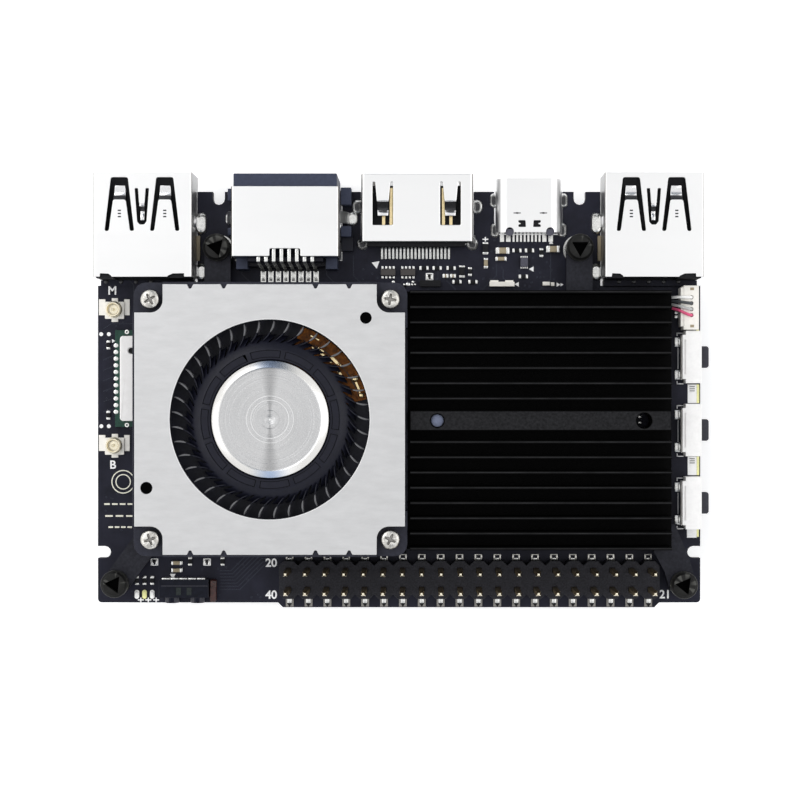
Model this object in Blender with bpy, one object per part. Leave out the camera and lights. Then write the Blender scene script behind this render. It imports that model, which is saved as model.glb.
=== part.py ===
"""Single board computer with a finned heatsink and a flat fan, built as an assembly.

X runs along the pin header, Y towards the sockets at the back and Z up. The origin is in the
middle of the outline, on the plane of the standoffs' feet. Sizes are in millimetres and angles
in degrees; heights are counted from the top of the circuit board. MM and BOARD_TOP turn them
into the object's own metres.
"""

import math

import bmesh
import bpy
from mathutils import Vector

MM = 0.001
SEAT = 0.05          # gap between a soldered or clamped piece and what it sits on
CLEAR = 0.3          # gap round a moving piece

# Circuit board
BOARD_THICK = 1.6
STANDOFF_HEIGHT = 4.0
BOARD_TOP = BOARD_THICK + STANDOFF_HEIGHT
BOARD_LEFT, BOARD_RIGHT = -41.0, 40.1
BOARD_FRONT, BOARD_BACK = -28.35, 26.95
BUMP_FRONT, BUMP_LEFT, BUMP_RIGHT, BUMP_SLOPE = -29.0, -16.1, 33.9, 0.65
CORNER_RADIUS = 0.5
NOTCH_RADIUS, NOTCH_DEPTH = 0.8, 1.75
BACK_NOTCHES = (-24.72, 23.85)
SIDE_NOTCH_Y = -21.55
CUTOUT_GAP = 0.15
MOUNT_POSTS = ((-24.6, 19.15), (23.6, 19.15), (-38.15, -25.5), (37.4, -25.65))
BOLT_RADIUS, BOLT_HOLE_RADIUS = 0.95, 1.15

# Sockets along the back edge
USB_WIDTH, USB_REAR, USB_FRONT = 13.1, 15.2, 29.0
USB_BOTTOM, USB_TOP = -2.1, 4.9
USB_LEFT_X, USB_RIGHT_X = -34.3, 33.35
USB_INSULATOR_REAR = 14.45
SHELL_WALL = 0.3
USB_SPRINGS, USB_SPRING_REAR, USB_SPRING_FRONT = (-3.05, 2.95), 21.25, 28.4
USB_LATCH, USB_LATCH_REAR, USB_LATCH_FRONT = -0.1, 22.2, 26.9
USB_BLOCK_FRONT, USB_TONGUE_FRONT, USB_TONGUE_HALF = 19.6, 27.6, 5.6
USB_TONGUE_BOTTOM, USB_TONGUE_TOP = 1.7, 3.5
USB_CONTACTS, USB_CONTACT_PITCH, USB_CONTACT_WIDTH = 4, 2.2, 1.0
USB_CONTACT_FRONT, USB_CONTACT_BOTTOM = 27.0, 1.4
USB_LEGS, LEG_REACH, LEG_TOP = ((15.4, 17.2), (21.4, 24.0)), 1.3, 0.4
ETHERNET_X0, ETHERNET_X1 = -22.45, -8.25
ETHERNET_REAR, ETHERNET_SHIELD_FRONT, ETHERNET_FRONT = 17.8, 27.0, 28.7
ETHERNET_BOTTOM, ETHERNET_TOP = -4.9, 6.5
ETHERNET_WALL = 0.25
ETHERNET_NOTCH = (-17.3, -13.3, 18.9)
ETHERNET_CAVITY_HALF, ETHERNET_CAVITY_REAR = 5.9, 19.6
ETHERNET_CAVITY_BOTTOM, ETHERNET_CAVITY_TOP = -3.3, 4.6
ETHERNET_KEY_HALF, ETHERNET_KEY_BOTTOM = 3.1, -4.2
ETHERNET_PINS, ETHERNET_PITCH, ETHERNET_PIN_X = 8, 1.01, -15.15
HDMI_X0, HDMI_X1, HDMI_REAR, HDMI_FRONT = -5.45, 9.45, 20.0, 29.0
HDMI_BOTTOM, HDMI_TOP = -2.2, 3.3
HDMI_SPRINGS, HDMI_SPRING_REAR, HDMI_SPRING_FRONT = (-2.58, 6.4), 22.24, 27.8
HDMI_BLOCK_FRONT, HDMI_TONGUE_FRONT = 22.0, 27.6
HDMI_TONGUE_X0, HDMI_TONGUE_X1, HDMI_TONGUE_BOTTOM, HDMI_TONGUE_TOP = -4.6, 8.6, 0.1, 1.4
HDMI_PINS, HDMI_PITCH, HDMI_PIN_X = 19, 0.5, 1.76
USBC_X0, USBC_X1, USBC_REAR, USBC_FRONT = 12.5, 21.4, 21.3, 28.5
USBC_BOTTOM, USBC_TOP = -0.85, 2.4
USBC_WALL, USBC_BACK_WALL = 0.25, 0.3
USBC_BLOCK_FRONT, USBC_TONGUE_FRONT, USBC_TONGUE_HALF = 23.2, 28.0, 3.3
USBC_TONGUE_THICK = 0.7
USBC_WINDOWS = ((15.5, 16.5), (17.5, 18.6))
USBC_WINDOW_REAR, USBC_WINDOW_FRONT = 21.9, 22.9

# Pin header
PIN_PITCH, PIN_COLUMNS, PIN_SIZE = 2.54, 20, 0.64
HEADER_X, HEADER_Y = 8.95, -25.1
HEADER_BASE_TOP, PIN_TOP, HEADER_BEVEL = 2.5, 8.5, 0.62
FOOT_FRONT, FOOT_BACK = -28.4, -22.05

# Heatsink
PLATE_BOTTOM, PLATE_TOP, FIN_TOP = 2.0, 3.0, 6.8
FIN_X0, FIN_X1, FIN_PITCH, FIN_THICK, FIN_COUNT = 1.06, 35.48, 2.0, 0.4, 8
FIN_BACK_Y, FIN_FRONT_Y = 13.1, -20.6
RIB_Y, RIB_WIDTH, RIB_TOP = -3.8, 2.6, 6.2
RIB_HOLES = ((4.66, 0.93), (31.85, 1.05))
ARM_WIDTH = 3.5
PLATE_FRONT, PLATE_BACK = -20.9, 13.35

# Chips under the heatsink: left, front, right, back and height
SOC = (8.0, -6.0, 24.0, 10.0, 1.3)
MEMORY = (2.0, -11.0, 7.2, 2.0, 1.3)
STORAGE = (10.0, -19.5, 21.5, -8.0, 1.1)
THERMAL_PAD = (2.2, -10.0, 23.8, 8.6)

# Radio module and its antenna sockets
RADIO = (-38.6, -4.7, -23.6, 8.3)
RADIO_THICK, RADIO_CAN_INSET, RADIO_CAN_TOP = 0.55, 0.8, 1.65
ANTENNA_X, ANTENNA_YS = -38.8, (11.07, -7.2)
ANTENNA_LENGTH, ANTENNA_WIDTH, ANTENNA_BASE, ANTENNA_TOP = 3.0, 2.6, 0.5, 1.35
ANTENNA_BORE, ANTENNA_RING, ANTENNA_PIN = 0.75, 1.0, 0.22

# Fan
FAN_X, FAN_Y, FAN_SIDE = -17.28, -3.64, 36.0
FAN_BOTTOM, FAN_FLOOR, FAN_WALL_TOP, EAR_TOP = 3.3, 4.0, 7.2, 6.0
COVER_SIDE, COVER_TOP, COVER_BOTTOM, COVER_CORNER = 35.4, 7.55, 7.25, 3.7
COVER_OPENING = 13.07
FAN_SCREW_OFFSET = 15.75
HUB_RADIUS, HUB_TOP, HUB_BOTTOM = 7.7, 7.15, 4.6
BLADE_COUNT, BLADE_ROOT, BLADE_TIP, BLADE_SWEEP, BLADE_THICK = 41, 9.2, 12.7, 14.0, 0.3
FAN_CAVITY = 13.4
FAN_MOUTH = 24.0
BEARING_BORE, BEARING_RADIUS, BEARING_TOP = 1.0, 1.65, 5.95
TUBE_BORE, TUBE_RADIUS, TUBE_TOP = 1.7, 2.4, 6.0
MAGNET_BORE, MAGNET_BOTTOM, MAGNET_TOP = 6.0, 4.7, 6.5
SHAFT_RADIUS, SHAFT_BOTTOM, SHAFT_TOP = 0.7, 4.2, 6.55
CORE_POLES, CORE_RADIUS, CORE_NECK, CORE_BOTTOM, CORE_TOP = 9, 5.6, 4.0, 4.5, 6.2
DRIVER_RADIUS, DRIVER_REACH, DRIVER_THICK = 7.0, 12.9, 0.2
COVER_BITE_ROUND, COVER_NOTCHES = 1.6, (10.4, 6.0, -6.0, -10.4)
COVER_HOLES = ((-4.7, 9.65, 0.76), (-33.4, -12.6, 0.79))

# Fasteners
SCREW_SHANK, SCREW_HEAD, SCREW_TIP, SCREW_TOP = 0.75, 1.26, 2.3, 6.95
BOLT_HEAD, BOLT_TIP, BOLT_TOP, BOLT_SOCKET = 1.8, -4.6, 4.6, 1.27
BOLT_TURNS = (168, 270, 175, 172)
STANDOFF_RADIUS = 2.02

# Push buttons on the right edge
BUTTON_YS = (4.66, -5.1, -14.85)
BUTTON_LENGTH, BUTTON_X0, BUTTON_X1, BUTTON_TOP = 7.0, 37.4, 39.95, 2.4
PLUNGER_WIDTH, PLUNGER_TIP, PLUNGER_BACK = 2.9, 41.0, 39.2
PLUNGER_BOTTOM, PLUNGER_TOP = 0.65, 1.75

# Fan lead
WIRE_RADIUS, WIRE_PITCH, WIRE_COUNT = 0.28, 0.79, 4
WIRE_Y, WIRE_LEVEL, WIRE_END = 12.28, 1.1, -3.6
PLUG = (37.1, 8.3, 39.5, 14.15)
PLUG_TOP, PLUG_FLOOR, PLUG_WALL = 3.0, 2.0, 38.7

# Infrared receiver
INFRARED = (-32.5, -27.5, -25.9, -25.1)
INFRARED_TOP, DOME_XS, DOME_RADIUS, DOME_LEVEL, DOME_FRONT = 2.1, (-30.85, -27.45), 0.95, 1.05, -28.25

# Underside: left, front, right, back and thickness
CARD_SOCKET = (-40.6, -17.0, -26.2, -3.0, 1.55)
EXPANSION_SOCKET = (-20.0, -15.0, -13.2, 7.0, 3.0)
FLEX_SOCKET = (10.0, 5.0, 27.0, 9.4, 1.5)
LATCH = (10.75, 7.85, 26.25, 9.3)
LATCH_HINGE_Y, LATCH_HINGE_DROP, LATCH_THICK = 7.9, 1.2, 0.35

MATERIALS = {
    "solder_mask": ((0.016, 0.018, 0.030), 0.35, 0.0),
    "tinned_steel": ((0.62, 0.62, 0.64), 0.25, 1.0),
    "brushed_aluminium": ((0.70, 0.70, 0.72), 0.35, 1.0),
    "black_anodised": ((0.012, 0.012, 0.014), 0.45, 0.2),
    "black_plastic": ((0.015, 0.015, 0.018), 0.5, 0.0),
    "blue_grey_plastic": ((0.09, 0.10, 0.17), 0.45, 0.0),
    "cream_plastic": ((0.72, 0.69, 0.62), 0.5, 0.0),
    "gold": ((0.75, 0.55, 0.25), 0.25, 1.0),
    "nickel": ((0.60, 0.59, 0.56), 0.3, 1.0),
    "grey_silicone": ((0.42, 0.43, 0.46), 0.8, 0.0),
    "green_laminate": ((0.03, 0.16, 0.09), 0.4, 0.0),
    "chip_resin": ((0.02, 0.02, 0.022), 0.6, 0.0),
    "flex_laminate": ((0.42, 0.17, 0.05), 0.45, 0.0),
    "ferrite": ((0.10, 0.10, 0.11), 0.7, 0.3),
    "smoked_resin": ((0.03, 0.03, 0.05), 0.15, 0.0),
    "grey_plastic": ((0.20, 0.20, 0.22), 0.4, 0.0),
    "cable_sleeve": ((0.55, 0.55, 0.55), 0.5, 0.0),
}


# ---------------------------------------------------------------- outlines


def arc(x, y, radius, start, end, steps):
    """Points along an arc, both ends included."""
    turn = [math.radians(start + (end - start) * i / steps) for i in range(steps + 1)]
    return [(x + radius * math.cos(a), y + radius * math.sin(a)) for a in turn]


def circle(x, y, radius, steps=32):
    return arc(x, y, radius, 0, 360, steps)[:-1]


def rectangle(x0, y0, x1, y1):
    return [(x0, y0), (x1, y0), (x1, y1), (x0, y1)]


def rounded(x0, y0, x1, y1, radius, steps=4):
    """A rectangle with quarter-round corners."""
    corners = ((x1, y1, 0), (x0, y1, 90), (x0, y0, 180), (x1, y0, 270))
    mid_x, mid_y = (x0 + x1) / 2, (y0 + y1) / 2
    points = []
    for x, y, start in corners:
        cx = x - math.copysign(radius, x - mid_x)
        cy = y - math.copysign(radius, y - mid_y)
        points += arc(cx, cy, radius, start, start + 90, steps)
    return points


def strip(near, far, width, steps=8):
    """A straight strip with a round end at near and a square end at far."""
    direction = math.degrees(math.atan2(far[1] - near[1], far[0] - near[0]))
    side = math.radians(direction + 90)
    offset = Vector((math.cos(side), math.sin(side))) * width / 2
    end = Vector(far)
    points = arc(*near, width / 2, direction + 90, direction + 270, steps)
    return points + [tuple(end - offset), tuple(end + offset)]


def comb(x_mid, pitch, count, tooth, bar_y0, bar_y1, tip_y):
    """A bar along X with square teeth reaching from it to tip_y."""
    first = x_mid - pitch * (count - 1) / 2
    near, far = (bar_y0, bar_y1) if tip_y < bar_y0 else (bar_y1, bar_y0)
    points = []
    for i in range(count):
        x = first + pitch * i
        points += [(x - tooth / 2, near), (x - tooth / 2, tip_y)]
        points += [(x + tooth / 2, tip_y), (x + tooth / 2, near)]
    return points + [(points[-1][0], far), (points[0][0], far)]


def u_slot(x, y_open, y_closed, half_open, half_closed, slot):
    """A U-shaped slot that frees a spring tongue, closed at y_closed."""
    step = math.copysign(slot, y_closed - y_open)
    return [
        (x - half_open - slot, y_open), (x - half_open, y_open),
        (x - half_closed, y_closed - step), (x + half_closed, y_closed - step),
        (x + half_open, y_open), (x + half_open + slot, y_open),
        (x + half_closed + slot, y_closed), (x - half_closed - slot, y_closed),
    ]


# ---------------------------------------------------------------- solids

AXES = {
    "Z": lambda a, b, level: (a, b, level),
    "Y": lambda a, b, level: (a, level, b),
    "X": lambda a, b, level: (level, a, b),
}


def extrude(bm, outline, low, high, axis="Z"):
    """Adds a closed prism over the outline, which lies across the given axis."""
    place = AXES[axis]
    rings = [[bm.verts.new(place(a, b, level)) for a, b in outline] for level in (low, high)]
    bm.faces.new(rings[0])
    bm.faces.new(rings[1])
    for i in range(len(outline)):
        bm.faces.new((rings[0][i - 1], rings[0][i], rings[1][i], rings[1][i - 1]))


def turn(bm, profile, x, y, steps):
    """Adds a closed solid turned about a vertical axis from (radius, height) points."""
    rings = []
    for radius, z in profile:
        spots = circle(x, y, radius, steps) if radius > 0 else [(x, y)]
        rings.append([bm.verts.new((px, py, z)) for px, py in spots])
    pairs = list(zip(rings, rings[1:]))
    if profile[0][0] > 0 and profile[-1][0] > 0:
        pairs.append((rings[-1], rings[0]))
    for low, high in pairs:
        for i in range(steps):
            near = [low[0]] if len(low) == 1 else [low[i - 1], low[i]]
            far = [high[0]] if len(high) == 1 else [high[i], high[i - 1]]
            bm.faces.new(near + far)


def material(name):
    """The named material, made on first use."""
    found = bpy.data.materials.get(name)
    if found:
        return found
    colour, roughness, metallic = MATERIALS[name]
    made = bpy.data.materials.new(name)
    made.use_nodes = True
    shader = made.node_tree.nodes["Principled BSDF"]
    shader.inputs["Base Color"].default_value = (*colour, 1.0)
    shader.inputs["Roughness"].default_value = roughness
    shader.inputs["Metallic"].default_value = metallic
    return made


def finish(name, bm, surface, pivot=(0, 0, 0)):
    """Turns a bmesh drawn in millimetres into an object with its origin at the pivot."""
    bmesh.ops.recalc_face_normals(bm, faces=bm.faces)
    bmesh.ops.translate(bm, verts=bm.verts, vec=-Vector(pivot))
    bmesh.ops.scale(bm, verts=bm.verts, vec=Vector((MM, MM, MM)))
    mesh = bpy.data.meshes.new(name)
    bm.to_mesh(mesh)
    bm.free()
    made = bpy.data.objects.new(name, mesh)
    made.location = (Vector(pivot) + Vector((0, 0, BOARD_TOP))) * MM
    bpy.context.scene.collection.objects.link(made)
    mesh.materials.append(material(surface))
    return made


def prism(name, outline, low, high, surface, axis="Z", pivot=(0, 0, 0)):
    return prisms(name, [outline], low, high, surface, axis, pivot)


def prisms(name, outlines, low, high, surface, axis="Z", pivot=(0, 0, 0)):
    """One object holding a prism over each outline."""
    bm = bmesh.new()
    for outline in outlines:
        extrude(bm, outline, low, high, axis)
    return finish(name, bm, surface, pivot)


def turned(name, profile, x, y, surface, steps=32, pivot=(0, 0, 0)):
    bm = bmesh.new()
    turn(bm, profile, x, y, steps)
    return finish(name, bm, surface, pivot)


def combine(target, operation, *tools):
    """Joins the tools to the target, or cuts them out of it, and removes them."""
    for tool in tools:
        step = target.modifiers.new("combine", "BOOLEAN")
        step.operation = operation
        step.object = tool
        step.solver = "EXACT"
        with bpy.context.temp_override(object=target, active_object=target):
            bpy.ops.object.modifier_apply(modifier=step.name)
        bpy.data.objects.remove(tool, do_unlink=True)
    return target


def cut(target, outlines, low, high, axis="Z"):
    """Cuts a prism over each outline out of the target."""
    return combine(target, "DIFFERENCE", prisms("cutter", outlines, low, high, "nickel", axis))


def add(target, outlines, low, high, axis="Z"):
    """Joins a prism over each outline to the target."""
    return combine(target, "UNION", prisms("added", outlines, low, high, "nickel", axis))


def smooth(*objects):
    """Shades round pieces smooth and keeps their corners sharp."""
    for item in objects:
        item.data.shade_smooth()
        item.data.set_sharp_from_angle(angle=math.radians(35))


# ---------------------------------------------------------------- circuit board


def pin_places():
    first = HEADER_X - PIN_PITCH * (PIN_COLUMNS - 1) / 2
    rows = (HEADER_Y - PIN_PITCH / 2, HEADER_Y + PIN_PITCH / 2)
    return [(first + PIN_PITCH * i, y) for i in range(PIN_COLUMNS) for y in rows]


def squares(places, side):
    half = side / 2
    return [rectangle(x - half, y - half, x + half, y + half) for x, y in places]


def back_notch(x):
    """The back edge's half-round notch, walked from right to left."""
    bottom = BOARD_BACK - NOTCH_DEPTH + NOTCH_RADIUS
    sides = (x + NOTCH_RADIUS, BOARD_BACK), (x - NOTCH_RADIUS, BOARD_BACK)
    return [sides[0], *arc(x, bottom, NOTCH_RADIUS, 0, -180, 6), sides[1]]


def side_notch(edge, inward):
    """A side edge's half-round notch: inward is -1 on the right edge and 1 on the left."""
    x = edge + inward * (NOTCH_DEPTH - NOTCH_RADIUS)
    start = (edge, SIDE_NOTCH_Y + inward * NOTCH_RADIUS)
    end = (edge, SIDE_NOTCH_Y - inward * NOTCH_RADIUS)
    return [start, *arc(x, SIDE_NOTCH_Y, NOTCH_RADIUS, 90 * inward, 90 * inward - 180, 6), end]


def cutout(x0, x1, y):
    """The space that a sunk socket takes out of the back edge, walked from right to left."""
    left, right, rear = x0 - CUTOUT_GAP, x1 + CUTOUT_GAP, y - CUTOUT_GAP
    return [(right, BOARD_BACK), (right, rear), (left, rear), (left, BOARD_BACK)]


def board_outline():
    radius = CORNER_RADIUS
    usb_half = USB_WIDTH / 2 + CUTOUT_GAP
    usb_rear = USB_INSULATOR_REAR - CUTOUT_GAP
    points = arc(BOARD_LEFT + radius, BOARD_FRONT + radius, radius, 180, 270, 4)
    points += [(BUMP_LEFT - BUMP_SLOPE, BOARD_FRONT), (BUMP_LEFT, BUMP_FRONT)]
    points += [(BUMP_RIGHT, BUMP_FRONT), (BUMP_RIGHT + BUMP_SLOPE, BOARD_FRONT)]
    points += arc(BOARD_RIGHT - radius, BOARD_FRONT + radius, radius, 270, 360, 4)
    points += side_notch(BOARD_RIGHT, -1)
    points += [(BOARD_RIGHT, usb_rear), (USB_RIGHT_X - usb_half, usb_rear)]
    points += [(USB_RIGHT_X - usb_half, BOARD_BACK)]
    points += back_notch(BACK_NOTCHES[1])
    points += cutout(USBC_X0, USBC_X1, USBC_REAR)
    points += cutout(HDMI_X0, HDMI_X1, HDMI_REAR)
    points += cutout(ETHERNET_X0, ETHERNET_X1, ETHERNET_REAR)
    points += back_notch(BACK_NOTCHES[0])
    points += [(USB_LEFT_X + usb_half, BOARD_BACK), (USB_LEFT_X + usb_half, usb_rear)]
    points += [(BOARD_LEFT, usb_rear)]
    return points + side_notch(BOARD_LEFT, 1)


def circuit_board():
    board = prism("pcb", board_outline(), -BOARD_THICK, 0, "solder_mask")
    cut(board, [circle(x, y, BOLT_HOLE_RADIUS, 16) for x, y in MOUNT_POSTS], -BOARD_THICK - 1, 1)
    smooth(board)


# ---------------------------------------------------------------- sockets


def spring_slots(x):
    """The slots round the two side springs and the middle latch of a USB shell's top."""
    side = [u_slot(x + dx, USB_SPRING_REAR, USB_SPRING_FRONT, 1.25, 0.75, 0.4)
            for dx in USB_SPRINGS]
    latch = u_slot(x + USB_LATCH, USB_LATCH_FRONT, USB_LATCH_REAR, 0.75, 0.35, 0.35)
    return side + [latch]


def usb_socket(name, x, inner_side):
    """A sunk USB socket: steel shell, insulator with its tongue, and the row of contacts."""
    half = USB_WIDTH / 2
    shell = prism(f"{name}_shell", rectangle(x - half, USB_REAR, x + half, USB_FRONT),
                  USB_BOTTOM, USB_TOP, "tinned_steel")
    inner = half - SHELL_WALL
    cut(shell, [rectangle(x - inner, USB_REAR - 1, x + inner, USB_FRONT + 1)],
        USB_BOTTOM + SHELL_WALL, USB_TOP - SHELL_WALL)
    cut(shell, spring_slots(x), USB_TOP - 1, USB_TOP + 1)
    edge = x + inner_side * half
    tip = edge + inner_side * LEG_REACH
    left, right = sorted((edge - inner_side * 0.2, tip))
    add(shell, [rectangle(left, y0, right, y1) for y0, y1 in USB_LEGS], SEAT, LEG_TOP)
    body = inner - SEAT
    block = prism(f"{name}_insulator",
                  rectangle(x - body, USB_INSULATOR_REAR, x + body, USB_BLOCK_FRONT),
                  USB_BOTTOM + SHELL_WALL + SEAT, USB_TOP - SHELL_WALL - SEAT, "black_plastic")
    add(block, [rectangle(x - USB_TONGUE_HALF, USB_BLOCK_FRONT - 0.6, x + USB_TONGUE_HALF,
                          USB_TONGUE_FRONT)], USB_TONGUE_BOTTOM, USB_TONGUE_TOP)
    row = comb(x, USB_CONTACT_PITCH, USB_CONTACTS, USB_CONTACT_WIDTH, USB_BLOCK_FRONT + 0.1,
               USB_BLOCK_FRONT + 0.8, USB_CONTACT_FRONT)
    prism(f"{name}_contacts", row, USB_CONTACT_BOTTOM, USB_TONGUE_BOTTOM - SEAT, "gold")


def ethernet_socket():
    """The network socket: shield, plastic body with the plug's cavity, and board contacts."""
    wall = ETHERNET_WALL
    mid = (ETHERNET_X0 + ETHERNET_X1) / 2
    shield = prism("ethernet_shield",
                   rectangle(ETHERNET_X0, ETHERNET_REAR, ETHERNET_X1, ETHERNET_SHIELD_FRONT),
                   ETHERNET_BOTTOM, ETHERNET_TOP, "tinned_steel")
    cut(shield, [rectangle(ETHERNET_X0 + wall, ETHERNET_REAR - 1, ETHERNET_X1 - wall,
                           ETHERNET_SHIELD_FRONT + 1)], ETHERNET_BOTTOM + wall, ETHERNET_TOP - wall)
    notch_x0, notch_x1, notch_front = ETHERNET_NOTCH
    cut(shield, [rectangle(notch_x0, ETHERNET_REAR - 1, notch_x1, notch_front)],
        ETHERNET_TOP - 1, ETHERNET_TOP + 1)
    tabs = [rectangle(ETHERNET_X1 - 0.2, 22.0, ETHERNET_X1 + 1.6, 23.9),
            rectangle(ETHERNET_X0 - 0.9, 25.3, ETHERNET_X0 + 0.2, 26.7)]
    add(shield, tabs, SEAT, LEG_TOP)
    gap = wall + SEAT
    body = prism("ethernet_body",
                 rectangle(ETHERNET_X0 + gap, ETHERNET_REAR, ETHERNET_X1 - gap,
                           ETHERNET_FRONT),
                 ETHERNET_BOTTOM + gap, ETHERNET_TOP - gap, "blue_grey_plastic")
    for half, low, high in (
        (ETHERNET_CAVITY_HALF, ETHERNET_CAVITY_BOTTOM, ETHERNET_CAVITY_TOP),
        (ETHERNET_KEY_HALF, ETHERNET_KEY_BOTTOM, ETHERNET_CAVITY_BOTTOM + 0.3),
    ):
        cut(body, [rectangle(mid - half, ETHERNET_CAVITY_REAR, mid + half, ETHERNET_FRONT + 1)],
            low, high)
    ends = [rectangle(mid - 6.6, 16.7, mid - 5.0, 18.2), rectangle(mid + 5.2, 16.7, mid + 6.6, 18.2)]
    add(body, ends, SEAT, 2.0)
    row = comb(ETHERNET_PIN_X, ETHERNET_PITCH, ETHERNET_PINS, 0.5, 16.3, 16.6, 14.8)
    prism("ethernet_contacts", row, SEAT, CLEAR - SEAT, "gold")


def hdmi_profile(inset):
    """The shell's cross-section: a rectangle with its lower corners drawn in."""
    x0, x1 = HDMI_X0 + inset, HDMI_X1 - inset
    z0, z1 = HDMI_BOTTOM + inset, HDMI_TOP - inset
    return [(x0, z1), (x0, z0 + 2.0), (x0 + 0.9, z0 + 1.2), (x0 + 1.3, z0),
            (x1 - 1.3, z0), (x1 - 0.9, z0 + 1.2), (x1, z0 + 2.0), (x1, z1)]


def hdmi_socket():
    """The display socket: shell, insulator with its tongue, and the nineteen board contacts."""
    shell = prism("hdmi_shell", hdmi_profile(0), HDMI_REAR, HDMI_FRONT, "tinned_steel", "Y")
    cut(shell, [hdmi_profile(SHELL_WALL)], HDMI_REAR - 1, HDMI_FRONT + 1, "Y")
    slots = [u_slot(x, HDMI_SPRING_REAR, HDMI_SPRING_FRONT, 1.0, 0.65, 0.35)
             for x in HDMI_SPRINGS]
    cut(shell, slots, HDMI_TOP - 1, HDMI_TOP + 1)
    tabs = [rectangle(x0, y - 0.9, x0 + 1.2, y + 0.9)
            for x0, y in ((HDMI_X0 - 1.0, 24.6), (HDMI_X1 - 0.2, 24.6))]
    add(shell, tabs, SEAT, LEG_TOP)
    block = prism("hdmi_insulator", hdmi_profile(SHELL_WALL + SEAT), HDMI_REAR + 0.1,
                  HDMI_BLOCK_FRONT, "black_plastic", "Y")
    add(block, [rectangle(HDMI_TONGUE_X0, HDMI_BLOCK_FRONT - 0.5, HDMI_TONGUE_X1,
                          HDMI_TONGUE_FRONT)], HDMI_TONGUE_BOTTOM, HDMI_TONGUE_TOP)
    row = comb(HDMI_PIN_X, HDMI_PITCH, HDMI_PINS, HDMI_PITCH / 2, 19.5, 19.8, 17.95)
    prism("hdmi_contacts", row, SEAT, CLEAR - SEAT, "gold")


def usb_c_socket():
    """The small power socket: a stadium-shaped shell round a thin tongue."""
    radius = (USBC_TOP - USBC_BOTTOM) / 2 - 0.05

    def profile(inset):
        return rounded(USBC_X0 + inset, USBC_BOTTOM + inset, USBC_X1 - inset, USBC_TOP - inset,
                       radius - inset, 6)

    shell = prism("usb_c_shell", profile(0), USBC_REAR, USBC_FRONT, "tinned_steel", "Y")
    cut(shell, [profile(USBC_WALL)], USBC_REAR + USBC_BACK_WALL, USBC_FRONT + 1, "Y")
    windows = [rectangle(x0, USBC_WINDOW_REAR, x1, USBC_WINDOW_FRONT) for x0, x1 in USBC_WINDOWS]
    cut(shell, windows, USBC_TOP - 0.8, USBC_TOP + 1)
    smooth(shell)
    mid = (USBC_X0 + USBC_X1) / 2
    level = (USBC_TOP + USBC_BOTTOM) / 2
    tongue = prism("usb_c_tongue", profile(USBC_WALL + SEAT), USBC_REAR + USBC_BACK_WALL + 0.1,
                   USBC_BLOCK_FRONT, "black_plastic", "Y")
    add(tongue, [rectangle(mid - USBC_TONGUE_HALF, USBC_BLOCK_FRONT - 0.2,
                           mid + USBC_TONGUE_HALF, USBC_TONGUE_FRONT)],
        level - USBC_TONGUE_THICK / 2, level + USBC_TONGUE_THICK / 2)


# ---------------------------------------------------------------- pin header


def header_outline():
    """Twenty eight-cornered cells in a row, with V notches between them."""
    half, bevel, reach = PIN_PITCH / 2, HEADER_BEVEL, PIN_PITCH
    first = HEADER_X - PIN_PITCH * (PIN_COLUMNS - 1) / 2
    middles = [first + PIN_PITCH * i for i in range(PIN_COLUMNS)]
    front, back = [], []
    for x in middles:
        front += [(x - half, HEADER_Y - reach + bevel), (x - half + bevel, HEADER_Y - reach),
                  (x + half - bevel, HEADER_Y - reach)]
        back += [(x - half, HEADER_Y + reach - bevel), (x - half + bevel, HEADER_Y + reach),
                 (x + half - bevel, HEADER_Y + reach)]
    end = middles[-1] + half
    front.append((end, HEADER_Y - reach + bevel))
    back.append((end, HEADER_Y + reach - bevel))
    return front + back[::-1]


def pin_header():
    base = prism("header_base", header_outline(), CLEAR, HEADER_BASE_TOP, "black_plastic")
    cut(base, squares(pin_places(), PIN_SIZE + 2 * SEAT), -1, HEADER_BASE_TOP + 1)
    first, last = pin_places()[0], pin_places()[-1]
    pins = prism("header_pins",
                 rectangle(first[0] - 0.2, first[1] - 0.2, last[0] + 0.2, last[1] + 0.2),
                 SEAT, CLEAR - SEAT, "gold")
    half = PIN_SIZE / 2
    feet = [rectangle(x - half, min(y, end), x + half, max(y, end)) for x, y in pin_places()
            for end in [FOOT_FRONT if y < HEADER_Y else FOOT_BACK]]
    add(pins, feet, SEAT, CLEAR - SEAT)
    add(pins, squares(pin_places(), PIN_SIZE), SEAT, PIN_TOP)


# ---------------------------------------------------------------- heatsink and chips


def fan_screws():
    sides = (-1, 1)
    return [(FAN_X + sx * FAN_SCREW_OFFSET, FAN_Y + sy * FAN_SCREW_OFFSET)
            for sy in sides for sx in sides]


def heatsink_plate():
    """The plate under the fan and the fins."""
    half = FAN_SIDE / 2 - 0.2
    return [(FAN_X - half, FAN_Y - half), (FAN_X + half, FAN_Y - half), (FAN_X + half, PLATE_FRONT),
            (FIN_X1, PLATE_FRONT), (FIN_X1, PLATE_BACK), (FAN_X + half, PLATE_BACK),
            (FAN_X + half, FAN_Y + half), (FAN_X - half, FAN_Y + half)]


def heatsink_arms():
    """The three straight arms and the broad one, each ending round at its post."""
    straight = [strip(MOUNT_POSTS[0], (-24.6, 13.0), ARM_WIDTH),
                strip(MOUNT_POSTS[1], (23.6, 12.0), ARM_WIDTH),
                strip(MOUNT_POSTS[2], (-33.0, -18.5), ARM_WIDTH)]
    x, y = MOUNT_POSTS[3]
    broad = [(36.3, -17.6), (33.5, -17.6), (33.5, -21.3), (34.95, -24.0), (35.5, -26.0)]
    return straight + [broad + arc(x, y, ARM_WIDTH / 2, 190, 385, 8) + [(38.2, -22.1)]]


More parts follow.
